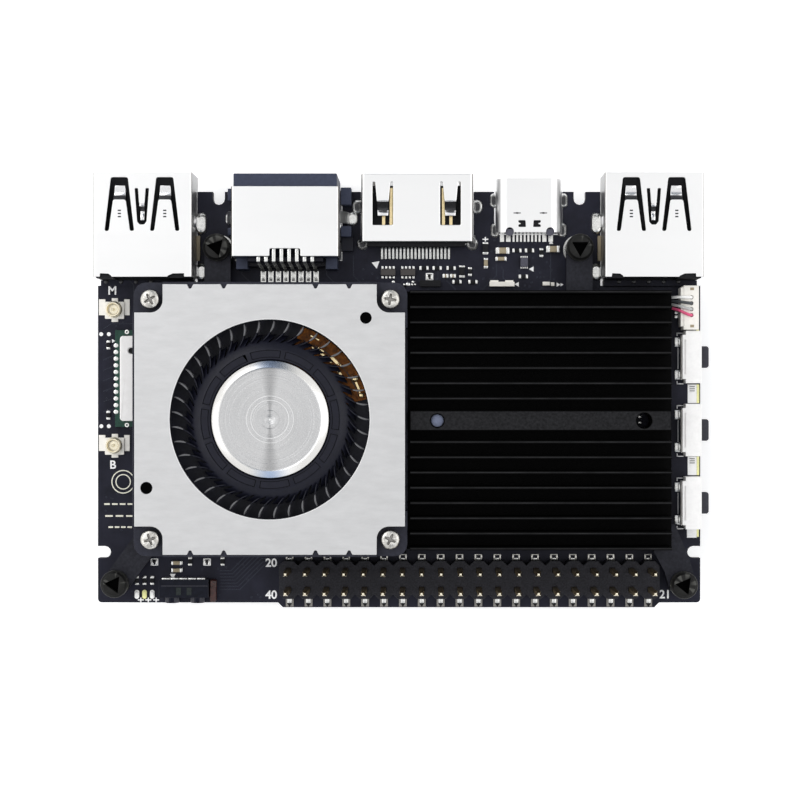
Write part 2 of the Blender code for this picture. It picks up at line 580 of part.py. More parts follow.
def heatsink():
    sink = prism("heatsink", heatsink_plate(), PLATE_BOTTOM, PLATE_TOP, "black_anodised")
    for arm in heatsink_arms():
        add(sink, [arm], PLATE_BOTTOM + 0.1, PLATE_TOP - 0.1)
    add(sink, [circle(x, y, ARM_WIDTH / 2 - 0.05, 16) for x, y in MOUNT_POSTS], SEAT,
        PLATE_TOP - 0.2)
    backs = [FIN_BACK_Y - FIN_PITCH * i for i in range(FIN_COUNT)]
    fronts = [FIN_FRONT_Y + FIN_PITCH * i for i in range(FIN_COUNT)]
    half = FIN_THICK / 2
    fins = [rectangle(FIN_X0, y - half, FIN_X1 - 0.05, y + half) for y in backs + fronts]
    add(sink, fins, PLATE_TOP - 0.3, FIN_TOP)
    rib = rectangle(FIN_X0, RIB_Y - RIB_WIDTH / 2, FIN_X1 - 0.05, RIB_Y + RIB_WIDTH / 2)
    add(sink, [rib], PLATE_TOP - 0.3, RIB_TOP)
    holes = [circle(x, RIB_Y, radius, 20) for x, radius in RIB_HOLES]
    holes += [circle(x, y, 0.85, 12) for x, y in fan_screws()]
    holes += [circle(x, y, BOLT_HOLE_RADIUS, 16) for x, y in MOUNT_POSTS]
    holes += [rectangle(-5.2, 10.3, -2.9, 13.6)]
    cut(sink, holes, -1, FIN_TOP + 1)
    smooth(sink)


def chips():
    """The processor, memory and storage under the heatsink, and the pad that joins them."""
    for name, chip in (("soc", SOC), ("memory_chip", MEMORY), ("storage_chip", STORAGE)):
        x0, y0, x1, y1, top = chip
        prism(name, rounded(x0, y0, x1, y1, 0.25, 2), SEAT, top, "chip_resin")
    prism("thermal_pad", rounded(*THERMAL_PAD, 0.4, 2), SOC[4] + SEAT, PLATE_BOTTOM - SEAT,
          "grey_silicone")


def radio_module():
    """The radio board with its shield can, and the two antenna sockets beside it."""
    x0, y0, x1, y1 = RADIO
    prism("wifi_board", rectangle(*RADIO), SEAT, RADIO_THICK, "green_laminate")
    inset = RADIO_CAN_INSET
    prism("wifi_shield", rounded(x0 + inset, y0 + inset, x1 - inset, y1 - inset, 0.5, 3),
          RADIO_THICK + SEAT, RADIO_CAN_TOP, "tinned_steel")
    for name, y in zip(("antenna_socket_main", "antenna_socket_second"), ANTENNA_YS):
        half_x, half_y = ANTENNA_LENGTH / 2, ANTENNA_WIDTH / 2
        socket = prism(name, rectangle(ANTENNA_X - half_x, y - half_y, ANTENNA_X + half_x,
                                       y + half_y), SEAT, ANTENNA_BASE, "gold")
        low = ANTENNA_BASE - 0.1
        profile = [(ANTENNA_BORE, low), (ANTENNA_RING, low), (ANTENNA_RING, ANTENNA_TOP),
                   (ANTENNA_BORE, ANTENNA_TOP)]
        combine(socket, "UNION", turned("ring", profile, ANTENNA_X, y, "gold", 20))
        add(socket, [circle(ANTENNA_X, y, ANTENNA_PIN, 8)], low, ANTENNA_TOP - 0.15)
        smooth(socket)


# ---------------------------------------------------------------- fan


def fan_housing():
    """The tray that carries the bearing, open on the side that faces the fins."""
    half = FAN_SIDE / 2
    tray = prism("fan_housing",
                 rounded(FAN_X - half, FAN_Y - half, FAN_X + half, FAN_Y + half, 1.6, 4),
                 FAN_BOTTOM, FAN_WALL_TOP, "black_plastic")
    cut(tray, [circle(FAN_X, FAN_Y, FAN_CAVITY, 48)], FAN_FLOOR, FAN_WALL_TOP + 1)
    mouth = FAN_MOUTH / 2
    cut(tray, [rectangle(FAN_X, FAN_Y - mouth, FAN_X + half + 1, FAN_Y + mouth)], FAN_FLOOR,
        FAN_WALL_TOP + 1)
    edge = half - COVER_CORNER - 0.3
    ears = []
    for sx in (-1, 1):
        for sy in (-1, 1):
            xs = sorted((FAN_X + sx * edge, FAN_X + sx * (half + 1)))
            ys = sorted((FAN_Y + sy * edge, FAN_Y + sy * (half + 1)))
            ears.append(rectangle(xs[0], ys[0], xs[1], ys[1]))
    cut(tray, ears, EAR_TOP, FAN_WALL_TOP + 1)
    cut(tray, [circle(x, y, 0.9, 12) for x, y in fan_screws()], FAN_BOTTOM - 1, EAR_TOP + 1)
    low = FAN_FLOOR - 0.2
    profile = [(TUBE_BORE, low), (TUBE_RADIUS, low), (TUBE_RADIUS, TUBE_TOP),
               (TUBE_BORE, TUBE_TOP)]
    combine(tray, "UNION", turned("tube", profile, FAN_X, FAN_Y, "black_plastic", 24))
    smooth(tray)


def cover_outline():
    """The square plate with a round-cornered bite at each screw and small edge notches."""
    half, bite, radius = COVER_SIDE / 2, COVER_CORNER, COVER_BITE_ROUND
    points = []
    for quarter in range(4):
        inner = half - bite
        corner = [(half, inner)]
        corner += arc(inner + radius, inner + radius, radius, 270, 180, 4)
        corner += [(inner, half)]
        if quarter % 2 == 0:
            for x in COVER_NOTCHES:
                corner += [(x + 0.3, half), (x + 0.3, half - 0.5), (x - 0.3, half - 0.5),
                           (x - 0.3, half)]
        angle = math.radians(90 * quarter)
        cos, sin = math.cos(angle), math.sin(angle)
        points += [(FAN_X + x * cos - y * sin, FAN_Y + x * sin + y * cos) for x, y in corner]
    return points


def fan_cover():
    cover = prism("fan_cover", cover_outline(), COVER_BOTTOM, COVER_TOP, "brushed_aluminium")
    holes = [circle(FAN_X, FAN_Y, COVER_OPENING, 64)]
    holes += [circle(x, y, radius, 12) for x, y, radius in COVER_HOLES]
    cut(cover, holes, COVER_BOTTOM - 1, COVER_TOP + 1)
    smooth(cover)


def blade_outline():
    """The hub ring with every swept blade, as one outline."""
    points = []
    for i in range(BLADE_COUNT):
        start = 360 * i / BLADE_COUNT
        sides = []
        for side in (-1, 1):
            walk = []
            for step in range(3):
                part = step / 2
                radius = BLADE_ROOT + (BLADE_TIP - BLADE_ROOT) * part
                lead = start - BLADE_SWEEP * part ** 1.4
                turn_by = math.radians(lead) + side * BLADE_THICK / 2 / radius
                walk.append((FAN_X + radius * math.cos(turn_by),
                             FAN_Y + radius * math.sin(turn_by)))
            sides.append(walk)
        points += sides[0] + sides[1][::-1]
    return points


def fan_rotor():
    """The turning pieces: blades, hub cup, magnet and shaft, all on the fan's axis."""
    axis = (FAN_X, FAN_Y, 0)
    blades = prism("fan_blades", blade_outline(), HUB_BOTTOM + 0.1, 6.75, "black_plastic",
                   pivot=axis)
    ring_hole = prism("hole", circle(FAN_X, FAN_Y, HUB_RADIUS + SEAT, 48), 0, 9, "nickel")
    combine(blades, "DIFFERENCE", ring_hole)
    inner = HUB_RADIUS - 0.45
    cup = [(0, HUB_TOP), (HUB_RADIUS - 0.75, HUB_TOP), (HUB_RADIUS, HUB_TOP - 0.35),
           (HUB_RADIUS, HUB_BOTTOM), (inner, HUB_BOTTOM), (inner, HUB_TOP - 0.5),
           (0, HUB_TOP - 0.5)]
    hub = turned("fan_hub_cup", cup, FAN_X, FAN_Y, "brushed_aluminium", 48, axis)
    outer = inner - SEAT
    profile = [(MAGNET_BORE, MAGNET_BOTTOM), (outer, MAGNET_BOTTOM), (outer, MAGNET_TOP),
               (MAGNET_BORE, MAGNET_TOP)]
    magnet = turned("fan_magnet", profile, FAN_X, FAN_Y, "ferrite", 32, axis)
    profile = [(0, SHAFT_BOTTOM), (SHAFT_RADIUS, SHAFT_BOTTOM), (SHAFT_RADIUS, SHAFT_TOP),
               (0, SHAFT_TOP)]
    shaft = turned("fan_shaft", profile, FAN_X, FAN_Y, "tinned_steel", 16, axis)
    smooth(blades, hub, magnet, shaft)


def fan_stator():
    """The fixed pieces inside the hub: bearing sleeve, wound core and driver board."""
    low = FAN_FLOOR + 0.1
    sleeve = [(BEARING_BORE, low), (BEARING_RADIUS, low), (BEARING_RADIUS, BEARING_TOP),
              (BEARING_BORE, BEARING_TOP)]
    bearing = turned("fan_bearing", sleeve, FAN_X, FAN_Y, "gold", 20)
    points = []
    for i in range(CORE_POLES):
        mid = 360 * i / CORE_POLES
        points += arc(FAN_X, FAN_Y, CORE_RADIUS, mid - 15, mid + 15, 3)
        points += arc(FAN_X, FAN_Y, CORE_NECK, mid + 17, mid + 23, 1)
    core = prism("fan_stator", points, CORE_BOTTOM, CORE_TOP, "ferrite")
    bore = circle(FAN_X, FAN_Y, TUBE_RADIUS + SEAT, 24)
    combine(core, "DIFFERENCE", prism("bore", bore, 0, CORE_TOP + 1, "nickel"))
    sector = arc(FAN_X, FAN_Y, DRIVER_RADIUS, 75, 370, 20)
    sector += arc(FAN_X, FAN_Y, DRIVER_REACH, 12, 72, 8)
    low = FAN_FLOOR + SEAT
    flex = prism("fan_circuit_board", sector, low, low + DRIVER_THICK, "flex_laminate")
    combine(flex, "DIFFERENCE", prism("bore", bore, 0, CORE_TOP + 1, "nickel"))
    smooth(bearing, core, flex)


# ---------------------------------------------------------------- fasteners


def fasteners():
    """Cross-head screws through the fan, triangular-socket bolts and hexagonal standoffs."""
    for number, (x, y) in enumerate(fan_screws(), 1):
        seat = EAR_TOP + SEAT
        profile = [(0, SCREW_TIP), (SCREW_SHANK, SCREW_TIP), (SCREW_SHANK, seat),
                   (SCREW_HEAD, seat), (SCREW_HEAD, SCREW_TOP - 0.35),
                   (SCREW_HEAD - 0.41, SCREW_TOP), (0, SCREW_TOP)]
        screw = turned(f"fan_screw_{number}", profile, x, y, "nickel", 20)
        for half_x, half_y in ((0.75, 0.15), (0.15, 0.75)):
            cut(screw, [rectangle(x - half_x, y - half_y, x + half_x, y + half_y)],
                SCREW_TOP - 0.45, SCREW_TOP + 1)
        smooth(screw)
    places = zip(MOUNT_POSTS, BOLT_TURNS)
    for number, ((x, y), start) in enumerate(places, 1):
        seat = PLATE_TOP - 0.1 + SEAT
        profile = [(0, BOLT_TIP), (BOLT_RADIUS, BOLT_TIP), (BOLT_RADIUS, seat),
                   (BOLT_HEAD, seat), (BOLT_HEAD, BOLT_TOP - 0.2),
                   (BOLT_HEAD - 0.15, BOLT_TOP), (0, BOLT_TOP)]
        bolt = turned(f"mount_bolt_{number}", profile, x, y, "black_anodised", 24)
        cut(bolt, [circle_turned(x, y, BOLT_SOCKET, 3, start)], BOLT_TOP - 1.1, BOLT_TOP + 1)
        smooth(bolt)
        foot = prism(f"standoff_{number}", circle_turned(x, y, STANDOFF_RADIUS, 6, 30),
                     -BOARD_THICK - STANDOFF_HEIGHT, -BOARD_THICK - SEAT, "nickel")
        cut(foot, [circle(x, y, BOLT_RADIUS + 0.1, 16)], BOLT_TIP - 0.15, 1)


def circle_turned(x, y, radius, steps, start):
    """A regular outline whose first corner points along the given angle."""
    return arc(x, y, radius, start, start + 360, steps)[:-1]


# ---------------------------------------------------------------- right edge


def buttons():
    """Three side-pushed buttons: a fixed body and a plunger that slides along X."""
    for number, y in enumerate(BUTTON_YS, 1):
        half = BUTTON_LENGTH / 2
        body = prism(f"button_body_{number}",
                     rectangle(BUTTON_X0, y - half, BUTTON_X1, y + half), SEAT, BUTTON_TOP,
                     "cream_plastic")
        wide = PLUNGER_WIDTH / 2 + CLEAR
        cut(body, [rectangle(38.4, y - wide, BUTTON_X1 + 1, y + wide)], PLUNGER_BOTTOM - CLEAR,
            PLUNGER_TOP + CLEAR)
        prism(f"button_plunger_{number}",
              rounded(PLUNGER_BACK, y - PLUNGER_WIDTH / 2, PLUNGER_TIP, y + PLUNGER_WIDTH / 2,
                      0.3, 2),
              PLUNGER_BOTTOM, PLUNGER_TOP, "grey_plastic", pivot=(PLUNGER_BACK, y, 1.2))


def wire_path(y, spread):
    """One wire's middle line: in from the plug, down and under the heatsink to the fan."""
    return [(38.35, spread, 2.5), (37.6, spread, 2.5), (36.9, (spread + y) / 2, 2.1),
            (36.1, y, 1.4), (35.0, y, WIRE_LEVEL), (0.0, y, WIRE_LEVEL), (WIRE_END, y, WIRE_LEVEL)]


def tube(bm, path, radius, sides=8):
    """A round tube along the path, with flat ends."""
    rings = []
    for i, here in enumerate(path):
        before, after = path[max(i - 1, 0)], path[min(i + 1, len(path) - 1)]
        along = (Vector(after) - Vector(before)).normalized()
        across = along.cross(Vector((0, 0, 1))).normalized()
        up = across.cross(along)
        ring = []
        for j in range(sides):
            angle = 2 * math.pi * j / sides
            offset = (across * math.cos(angle) + up * math.sin(angle)) * radius
            ring.append(bm.verts.new(Vector(here) + offset))
        rings.append(ring)
    bm.faces.new(rings[0])
    bm.faces.new(rings[-1])
    for low, high in zip(rings, rings[1:]):
        for j in range(sides):
            bm.faces.new((low[j - 1], low[j], high[j], high[j - 1]))


def fan_lead():
    """The plug on the right edge and the four wires from it, gathered in a sleeve."""
    plug = prism("fan_connector", rectangle(*PLUG), SEAT, PLUG_TOP, "cream_plastic")
    cut(plug, [rectangle(PLUG[0] - 1, WIRE_Y - 2.3, PLUG_WALL, WIRE_Y + 1.4)], PLUG_FLOOR,
        PLUG_TOP + 1)
    bm = bmesh.new()
    for i in range(WIRE_COUNT):
        offset = (i - (WIRE_COUNT - 1) / 2)
        path = wire_path(WIRE_Y - 0.3 + offset * 0.62, WIRE_Y - 0.45 + offset * WIRE_PITCH)
        tube(bm, path, WIRE_RADIUS)
    lead = finish("fan_cable", bm, "cable_sleeve")
    sleeve = rectangle(-4.9, WIRE_Y - 1.7, -3.2, WIRE_Y + 1.1)
    add(lead, [sleeve], 0.6, FAN_BOTTOM - SEAT)
    smooth(lead)


def infrared_receiver():
    """The receiver on the front edge, with its two domes."""
    body = prism("ir_receiver", rectangle(*INFRARED), SEAT, INFRARED_TOP, "smoked_resin")
    domes = prisms("domes", [circle(x, DOME_LEVEL, DOME_RADIUS, 16) for x in DOME_XS],
                   DOME_FRONT, INFRARED[1] + 0.5, "smoked_resin", "Y")
    combine(body, "UNION", domes)
    smooth(body)


# ---------------------------------------------------------------- underside


def underside():
    """Card socket, expansion socket and flex connector with its flip latch."""
    low = -BOARD_THICK - SEAT
    x0, y0, x1, y1, thick = CARD_SOCKET
    card = prism("card_socket", rectangle(x0, y0, x1, y1), low - thick, low, "tinned_steel")
    cut(card, [rectangle(x0 - 1, y0 + 1.4, x1 - 1.2, y1 - 1.4)], low - thick + 0.3, low - 0.35)
    x0, y0, x1, y1, thick = EXPANSION_SOCKET
    slot = prism("m2_socket", rectangle(x0, y0, x1, y1), low - thick, low, "black_plastic")
    cut(slot, [rectangle(x0 + 1.8, y0 + 1, x1 + 1, y1 - 1)], low - 2.2, low - 1.0)
    x0, y0, x1, y1, thick = FLEX_SOCKET
    flex = prism("flex_connector", rectangle(x0, y0, x1, y1), low - thick, low, "cream_plastic")
    cut(flex, [rectangle(x0 + 0.8, y0 - 1, x1 - 0.8, y0 + 2)], low - 1.0, low - 0.6)
    cut(flex, [rectangle(x0 + 0.4, y1 - 1.9, x1 - 0.4, y1 + 1)], low - thick - 0.5, low - 0.8)
    hinge = ((LATCH[0] + LATCH[2]) / 2, LATCH_HINGE_Y, low - LATCH_HINGE_DROP)
    prism("flex_latch", rectangle(*LATCH), low - 1.1 - LATCH_THICK, low - 1.1, "black_plastic",
          pivot=hinge)


def main():
    for item in list(bpy.data.objects):
        bpy.data.objects.remove(item, do_unlink=True)
    circuit_board()
    usb_socket("usb_left", USB_LEFT_X, 1)
    usb_socket("usb_right", USB_RIGHT_X, -1)
    ethernet_socket()
    hdmi_socket()
    usb_c_socket()
    pin_header()
    heatsink()
    chips()
    radio_module()
    fan_housing()
    fan_cover()
    fan_rotor()
    fan_stator()
    fasteners()
    buttons()
    fan_lead()
    infrared_receiver()
    underside()


main()
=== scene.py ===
import math
import random

import bmesh
import bpy
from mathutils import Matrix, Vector


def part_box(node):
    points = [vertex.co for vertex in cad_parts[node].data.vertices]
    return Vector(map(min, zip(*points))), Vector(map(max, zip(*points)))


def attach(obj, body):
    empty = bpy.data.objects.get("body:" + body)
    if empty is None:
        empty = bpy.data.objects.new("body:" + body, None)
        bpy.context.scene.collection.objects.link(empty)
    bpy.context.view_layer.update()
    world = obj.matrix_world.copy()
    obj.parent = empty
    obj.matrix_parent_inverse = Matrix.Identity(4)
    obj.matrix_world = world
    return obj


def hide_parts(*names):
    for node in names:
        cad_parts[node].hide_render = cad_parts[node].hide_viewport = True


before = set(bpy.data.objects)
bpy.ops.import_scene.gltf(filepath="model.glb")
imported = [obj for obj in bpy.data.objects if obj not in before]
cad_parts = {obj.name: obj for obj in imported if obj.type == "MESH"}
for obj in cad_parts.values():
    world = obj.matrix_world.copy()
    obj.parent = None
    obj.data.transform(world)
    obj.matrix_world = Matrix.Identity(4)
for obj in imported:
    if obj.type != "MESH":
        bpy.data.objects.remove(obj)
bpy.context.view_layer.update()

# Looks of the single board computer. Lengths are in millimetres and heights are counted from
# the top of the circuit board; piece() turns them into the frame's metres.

MM = 0.001
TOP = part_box("pcb")[1].z / MM
UNDERSIDE = -1.6  # of the circuit board
PRINT_THICK = 0.022  # of every printed mark
BUTTON_SHIFT = -0.16  # from the middle of a button's case to the middle of its feet


def place(node):
    """A CAD node's lowest and highest corners, in millimetres above the board's top."""
    low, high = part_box(node)
    lift = Vector((0, 0, TOP))
    return low / MM - lift, high / MM - lift


def middle_of(node):
    """The middle of a CAD node's box, seen from above."""
    lo, hi = place(node)
    return (lo.x + hi.x) / 2, (lo.y + hi.y) / 2


# ---------------------------------------------------------------- outlines


def arc(x, y, radius, start, end, steps):
    turn_by = [math.radians(start + (end - start) * i / steps) for i in range(steps + 1)]
    return [(x + radius * math.cos(a), y + radius * math.sin(a)) for a in turn_by]


def circle(x, y, radius, steps=48, start=0):
    return arc(x, y, radius, start, start + 360, steps)[:-1]


def rectangle(x0, y0, x1, y1):
    return [(x0, y0), (x1, y0), (x1, y1), (x0, y1)]


def centred(x, y, width, depth):
    return rectangle(x - width / 2, y - depth / 2, x + width / 2, y + depth / 2)


def rounded(x0, y0, x1, y1, radius, steps=5):
    mid_x, mid_y = (x0 + x1) / 2, (y0 + y1) / 2
    points = []
    for x, y, start in ((x1, y1, 0), (x0, y1, 90), (x0, y0, 180), (x1, y0, 270)):
        cx = x - math.copysign(radius, x - mid_x)
        cy = y - math.copysign(radius, y - mid_y)
        points += arc(cx, cy, radius, start, start + 90, steps)
    return points


def stadium(x, y, width, depth, steps=8):
    return rounded(x - width / 2, y - depth / 2, x + width / 2, y + depth / 2,
                   min(width, depth) / 2 - 0.001, steps)


def softened(corners, radius, steps=3):
    """An outline with every corner rounded off by about the given radius."""
    points = []
    for i, here in enumerate(corners):
        here = Vector(here)
        before = Vector(corners[i - 1])
        after = Vector(corners[(i + 1) % len(corners)])
        cut_in = min(radius, (before - here).length / 2.2, (after - here).length / 2.2)
        start = here + (before - here).normalized() * cut_in
        end = here + (after - here).normalized() * cut_in
        for step in range(steps + 1):
            t = step / steps
            spot = start * (1 - t) ** 2 + here * 2 * t * (1 - t) + end * t ** 2
            points.append(tuple(spot))
    return points


# ---------------------------------------------------------------- mesh builders

AXES = {
    "Z": lambda a, b, level: (a, b, level),
    "Y": lambda a, b, level: (a, level, b),
    "X": lambda a, b, level: (level, a, b),
}


def skin(bm, rings):
    """Closes a row of vertex rings: a cap at each end and sides between neighbours."""
    bm.faces.new(rings[0])
    bm.faces.new(rings[-1])
    for low, high in zip(rings, rings[1:]):
        for i in range(len(low)):
            bm.faces.new((low[i - 1], low[i], high[i], high[i - 1]))


def extrude(bm, outline, low, high, axis="Z"):
    to_space = AXES[axis]
    skin(bm, [[bm.verts.new(to_space(a, b, level)) for a, b in outline] for level in (low, high)])


def turn(bm, profile, x, y, steps=64):
    rings = []
    for radius, z in profile:
        spots = circle(x, y, radius, steps) if radius > 0 else [(x, y)]
        rings.append([bm.verts.new((px, py, z)) for px, py in spots])
    pairs = list(zip(rings, rings[1:]))
    if profile[0][0] > 0 and profile[-1][0] > 0:
        pairs.append((rings[-1], rings[0]))
    for low, high in pairs:
        for i in range(steps):
            near = [low[0]] if len(low) == 1 else [low[i - 1], low[i]]
            far = [high[0]] if len(high) == 1 else [high[i], high[i - 1]]
            bm.faces.new(near + far)


def washer(bm, x, y, inner, outer, low, high, steps=24):
    """A flat ring, or a disc where its inner radius is 0."""
    turn(bm, [(inner, low), (outer, low), (outer, high), (inner, high)], x, y, steps)


def sweep(bm, path, outline):
    """Moves a cross-section, in across and up, along a path that never runs straight up."""
    rings = []
    for i, here in enumerate(path):
        before, after = path[max(i - 1, 0)], path[min(i + 1, len(path) - 1)]
        along = (Vector(after) - Vector(before)).normalized()
        across = along.cross(Vector((0, 0, 1)))
        across = across.normalized() if across.length > 1e-6 else Vector((1, 0, 0))
        up = across.cross(along)
        rings.append([bm.verts.new(Vector(here) + across * a + up * b) for a, b in outline])
    skin(bm, rings)


def heap(bm, outline, stations):
    """An outline stacked at several scales and heights, drawn in towards its middle."""
    mid = Vector((sum(p[0] for p in outline), sum(p[1] for p in outline))) / len(outline)
    rings = []
    for scale, z in stations:
        ring = [mid + (Vector(p) - mid) * scale for p in outline]
        rings.append([bm.verts.new((p.x, p.y, z)) for p in ring])
    skin(bm, rings)


def mound(bm, outline, base, height, steps=4, shrink=0.6):
    """A low solder-like heap over the outline, domed and drawn in."""
    shares = [step / steps for step in range(steps + 1)]
    heap(bm, outline, [(1 - shrink * t * t, base + height * math.sin(t * math.pi / 2))
                       for t in shares])


def crater(bm, outline, height):
    """Solder heaped round a tab, sunk in its middle."""
    heap(bm, outline, [(scale, height * level) for scale, level in
                       ((1.0, 0.0), (0.9, 0.75), (0.8, 1.0), (0.68, 0.8), (0.6, 0.2))])


def craters(bm, joints, height):
    for x, y, width, depth in joints:
        crater(bm, stadium(x, y, width, depth, 6), height)


def crater_middles(bm, joints):
    for x, y, width, depth in joints:
        extrude(bm, stadium(x, y, width * 0.55, depth * 0.58, 6), 0.05, 0.09)


def to_mesh(name, bm):
    bmesh.ops.recalc_face_normals(bm, faces=bm.faces)
    mesh = bpy.data.meshes.new(name)
    bm.to_mesh(mesh)
    bm.free()
    made = bpy.data.objects.new(name, mesh)
    bpy.context.scene.collection.objects.link(made)
    return made


def piece(name, made, surface, body="board", nodes=(), bevel=0.0, segments=2, angle=35,
          rim=None):
    """Finishes an object drawn in millimetres: metres, bevel, shading, material and body.
    The rim finish, where given, is painted on the edges that tilt away from the top: painted shade
    on the socket shells and a painted highlight on the receiver."""
    if isinstance(made, bmesh.types.BMesh):
        made = to_mesh(name, made)
    made.name = name
    made.data.name = name
    for vertex in made.data.vertices:
        vertex.co = (vertex.co + Vector((0, 0, TOP))) * MM
    if bevel:
        step = made.modifiers.new("bevel", "BEVEL")
        step.width = bevel * MM
        step.segments = segments
        step.limit_method = "ANGLE"
        step.angle_limit = math.radians(angle)
        with bpy.context.temp_override(object=made, active_object=made):
            bpy.ops.object.modifier_apply(modifier=step.name)
    made.data.shade_smooth()
    made.data.set_sharp_from_angle(angle=math.radians(angle))
    step = made.modifiers.new("even shading", "WEIGHTED_NORMAL")
    step.keep_sharp = True
    step.weight = 100
    made.data.materials.clear()
    made.data.materials.append(surface)
    if rim:
        made.data.materials.append(rim)
        for face in made.data.polygons:
            face.material_index = int(0.12 < face.normal.z < 0.9)
    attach(made, body)
    if nodes:
        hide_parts(*nodes)
    return made


def shade_sides(made, finish, axes=(0,)):
    """Paints shade on the faces turned along some axes by giving them a darker finish of their own.
    """
    made.data.materials.append(finish)
    slot = len(made.data.materials) - 1
    for face in made.data.polygons:
        if any(abs(face.normal[axis]) > 0.9 for axis in axes):
            face.material_index = slot


def slabs(name, finish, parts, *more, **settings):
    """A piece made of prisms: each part is an outline with its lowest and highest level."""
    bm = bmesh.new()
    for outline, low, high in parts:
        extrude(bm, outline, low, high)
    return piece(name, bm, finish, *more, **settings)


def combine(target, operation, *tools):
    for tool in tools:
        step = target.modifiers.new("combine", "BOOLEAN")
        step.operation = operation
        step.object = tool
        step.solver = "EXACT"
        with bpy.context.temp_override(object=target, active_object=target):
            bpy.ops.object.modifier_apply(modifier=step.name)
        bpy.data.objects.remove(tool, do_unlink=True)
    return target


def prisms(outlines, low, high, axis="Z"):
    bm = bmesh.new()
    for outline in outlines:
        extrude(bm, outline, low, high, axis)
    return to_mesh("prisms", bm)


def cut(target, outlines, low, high, axis="Z"):
    return combine(target, "DIFFERENCE", prisms(outlines, low, high, axis))


def add(target, outlines, low, high, axis="Z"):
    return combine(target, "UNION", prisms(outlines, low, high, axis))


def cad_copy(node):
    """A CAD node's shape as a clean mesh in millimetres, with flat faces made whole again."""
    bm = bmesh.new()
    bm.from_mesh(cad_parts[node].data)
    bmesh.ops.remove_doubles(bm, verts=bm.verts, dist=1e-6)
    bmesh.ops.scale(bm, verts=bm.verts, vec=Vector((1, 1, 1)) / MM)
    bmesh.ops.translate(bm, verts=bm.verts, vec=Vector((0, 0, -TOP)))
    bmesh.ops.dissolve_limit(bm, angle_limit=math.radians(1), verts=bm.verts, edges=bm.edges)
    return to_mesh(node, bm)


def as_cad(name, node, finish, body="board", **settings):
    """A piece with its CAD node's own shape."""
    return piece(name, cad_copy(node), finish, body, [node], **settings)


# ---------------------------------------------------------------- materials


def add_node(tree, kind, sockets=(), **settings):
    """Adds a shader node with its settings and the constants on its sockets."""
    made = tree.nodes.new("ShaderNode" + kind)
    for key, value in settings.items():
        setattr(made, key, value)
    for socket, value in dict(sockets).items():
        made.inputs[socket].default_value = value
    return made


def node_link(tree, *rows):
    """Joins nodes: each row is a node, its output, the node it feeds and that one's input."""
    for source, output, target, socket in rows:
        tree.links.new(source.outputs[output], target.inputs[socket])


def two_tones(tree, low, high, start=0.0, end=1.0, interpolation="LINEAR"):
    """A colour ramp from one colour at start to another at end."""
    made = add_node(tree, "ValToRGB")
    made.color_ramp.interpolation = interpolation
    for element, position, colour in zip(made.color_ramp.elements, (start, end), (low, high)):
        element.position = position
        element.color = (*colour, 1)
    return made


def surface(name, colour, rough, metallic=0.0, vary=0.12, grain=0.5, stretch=(1, 1, 1),
            bump=0.1, fine=0.06, spread=0.1, specular=0.5, edge_wear_and_sheen=None):
    """A procedural finish. grain and fine are the sizes, in millimetres, of its blotches and
    of its finest texture; stretch draws both out along an axis; the edge colour lightens its
    edges, part wear and part painted highlight."""
    made = bpy.data.materials.new(name)
    made.use_nodes = True
    tree = made.node_tree
    shader = tree.nodes["Principled BSDF"]
    shader.inputs["Metallic"].default_value = metallic
    shader.inputs["Specular IOR Level"].default_value = specular
    where = add_node(tree, "TexCoord")
    mapping = add_node(tree, "Mapping", {"Scale": stretch})
    noises = [add_node(tree, "TexNoise", {"Scale": 1000.0 / size, "Detail": detail,
                                          "Roughness": 0.6})
              for size, detail in ((grain, 6.0), (fine, 3.0))]
    tint = two_tones(tree, [c * (1 - vary) for c in colour],
                     [min(c * (1 + vary), 1.0) for c in colour], 0.3, 0.7)
    node_link(tree, (where, "Object", mapping, "Vector"),
              (mapping, "Vector", noises[0], "Vector"), (mapping, "Vector", noises[1], "Vector"),
              (noises[0], "Fac", tint, "Fac"))
    # Pointed edges take the lighter edge colour: part wear, part painted highlight where chamfers
    # would catch the light.
    if edge_wear_and_sheen:
        geometry = add_node(tree, "NewGeometry")
        edge = add_node(tree, "MapRange", {"From Min": 0.52, "From Max": 0.62})
        mix = add_node(tree, "Mix", {7: (*edge_wear_and_sheen, 1)}, data_type="RGBA")
        node_link(tree, (geometry, "Pointiness", edge, "Value"), (edge, "Result", mix, 0),
                  (tint, "Color", mix, 6), (mix, 2, shader, "Base Color"))
    else:
        node_link(tree, (tint, "Color", shader, "Base Color"))
    span = add_node(tree, "MapRange", {"From Min": 0.3, "From Max": 0.7,
                                       "To Min": max(rough - spread, 0.03),
                                       "To Max": min(rough + spread, 1.0)})
    relief = add_node(tree, "Bump", {"Strength": bump, "Distance": 0.02 * MM})
    node_link(tree, (noises[1], "Fac", span, "Value"), (span, "Result", shader, "Roughness"),
              (noises[1], "Fac", relief, "Height"), (relief, "Normal", shader, "Normal"))
    return made


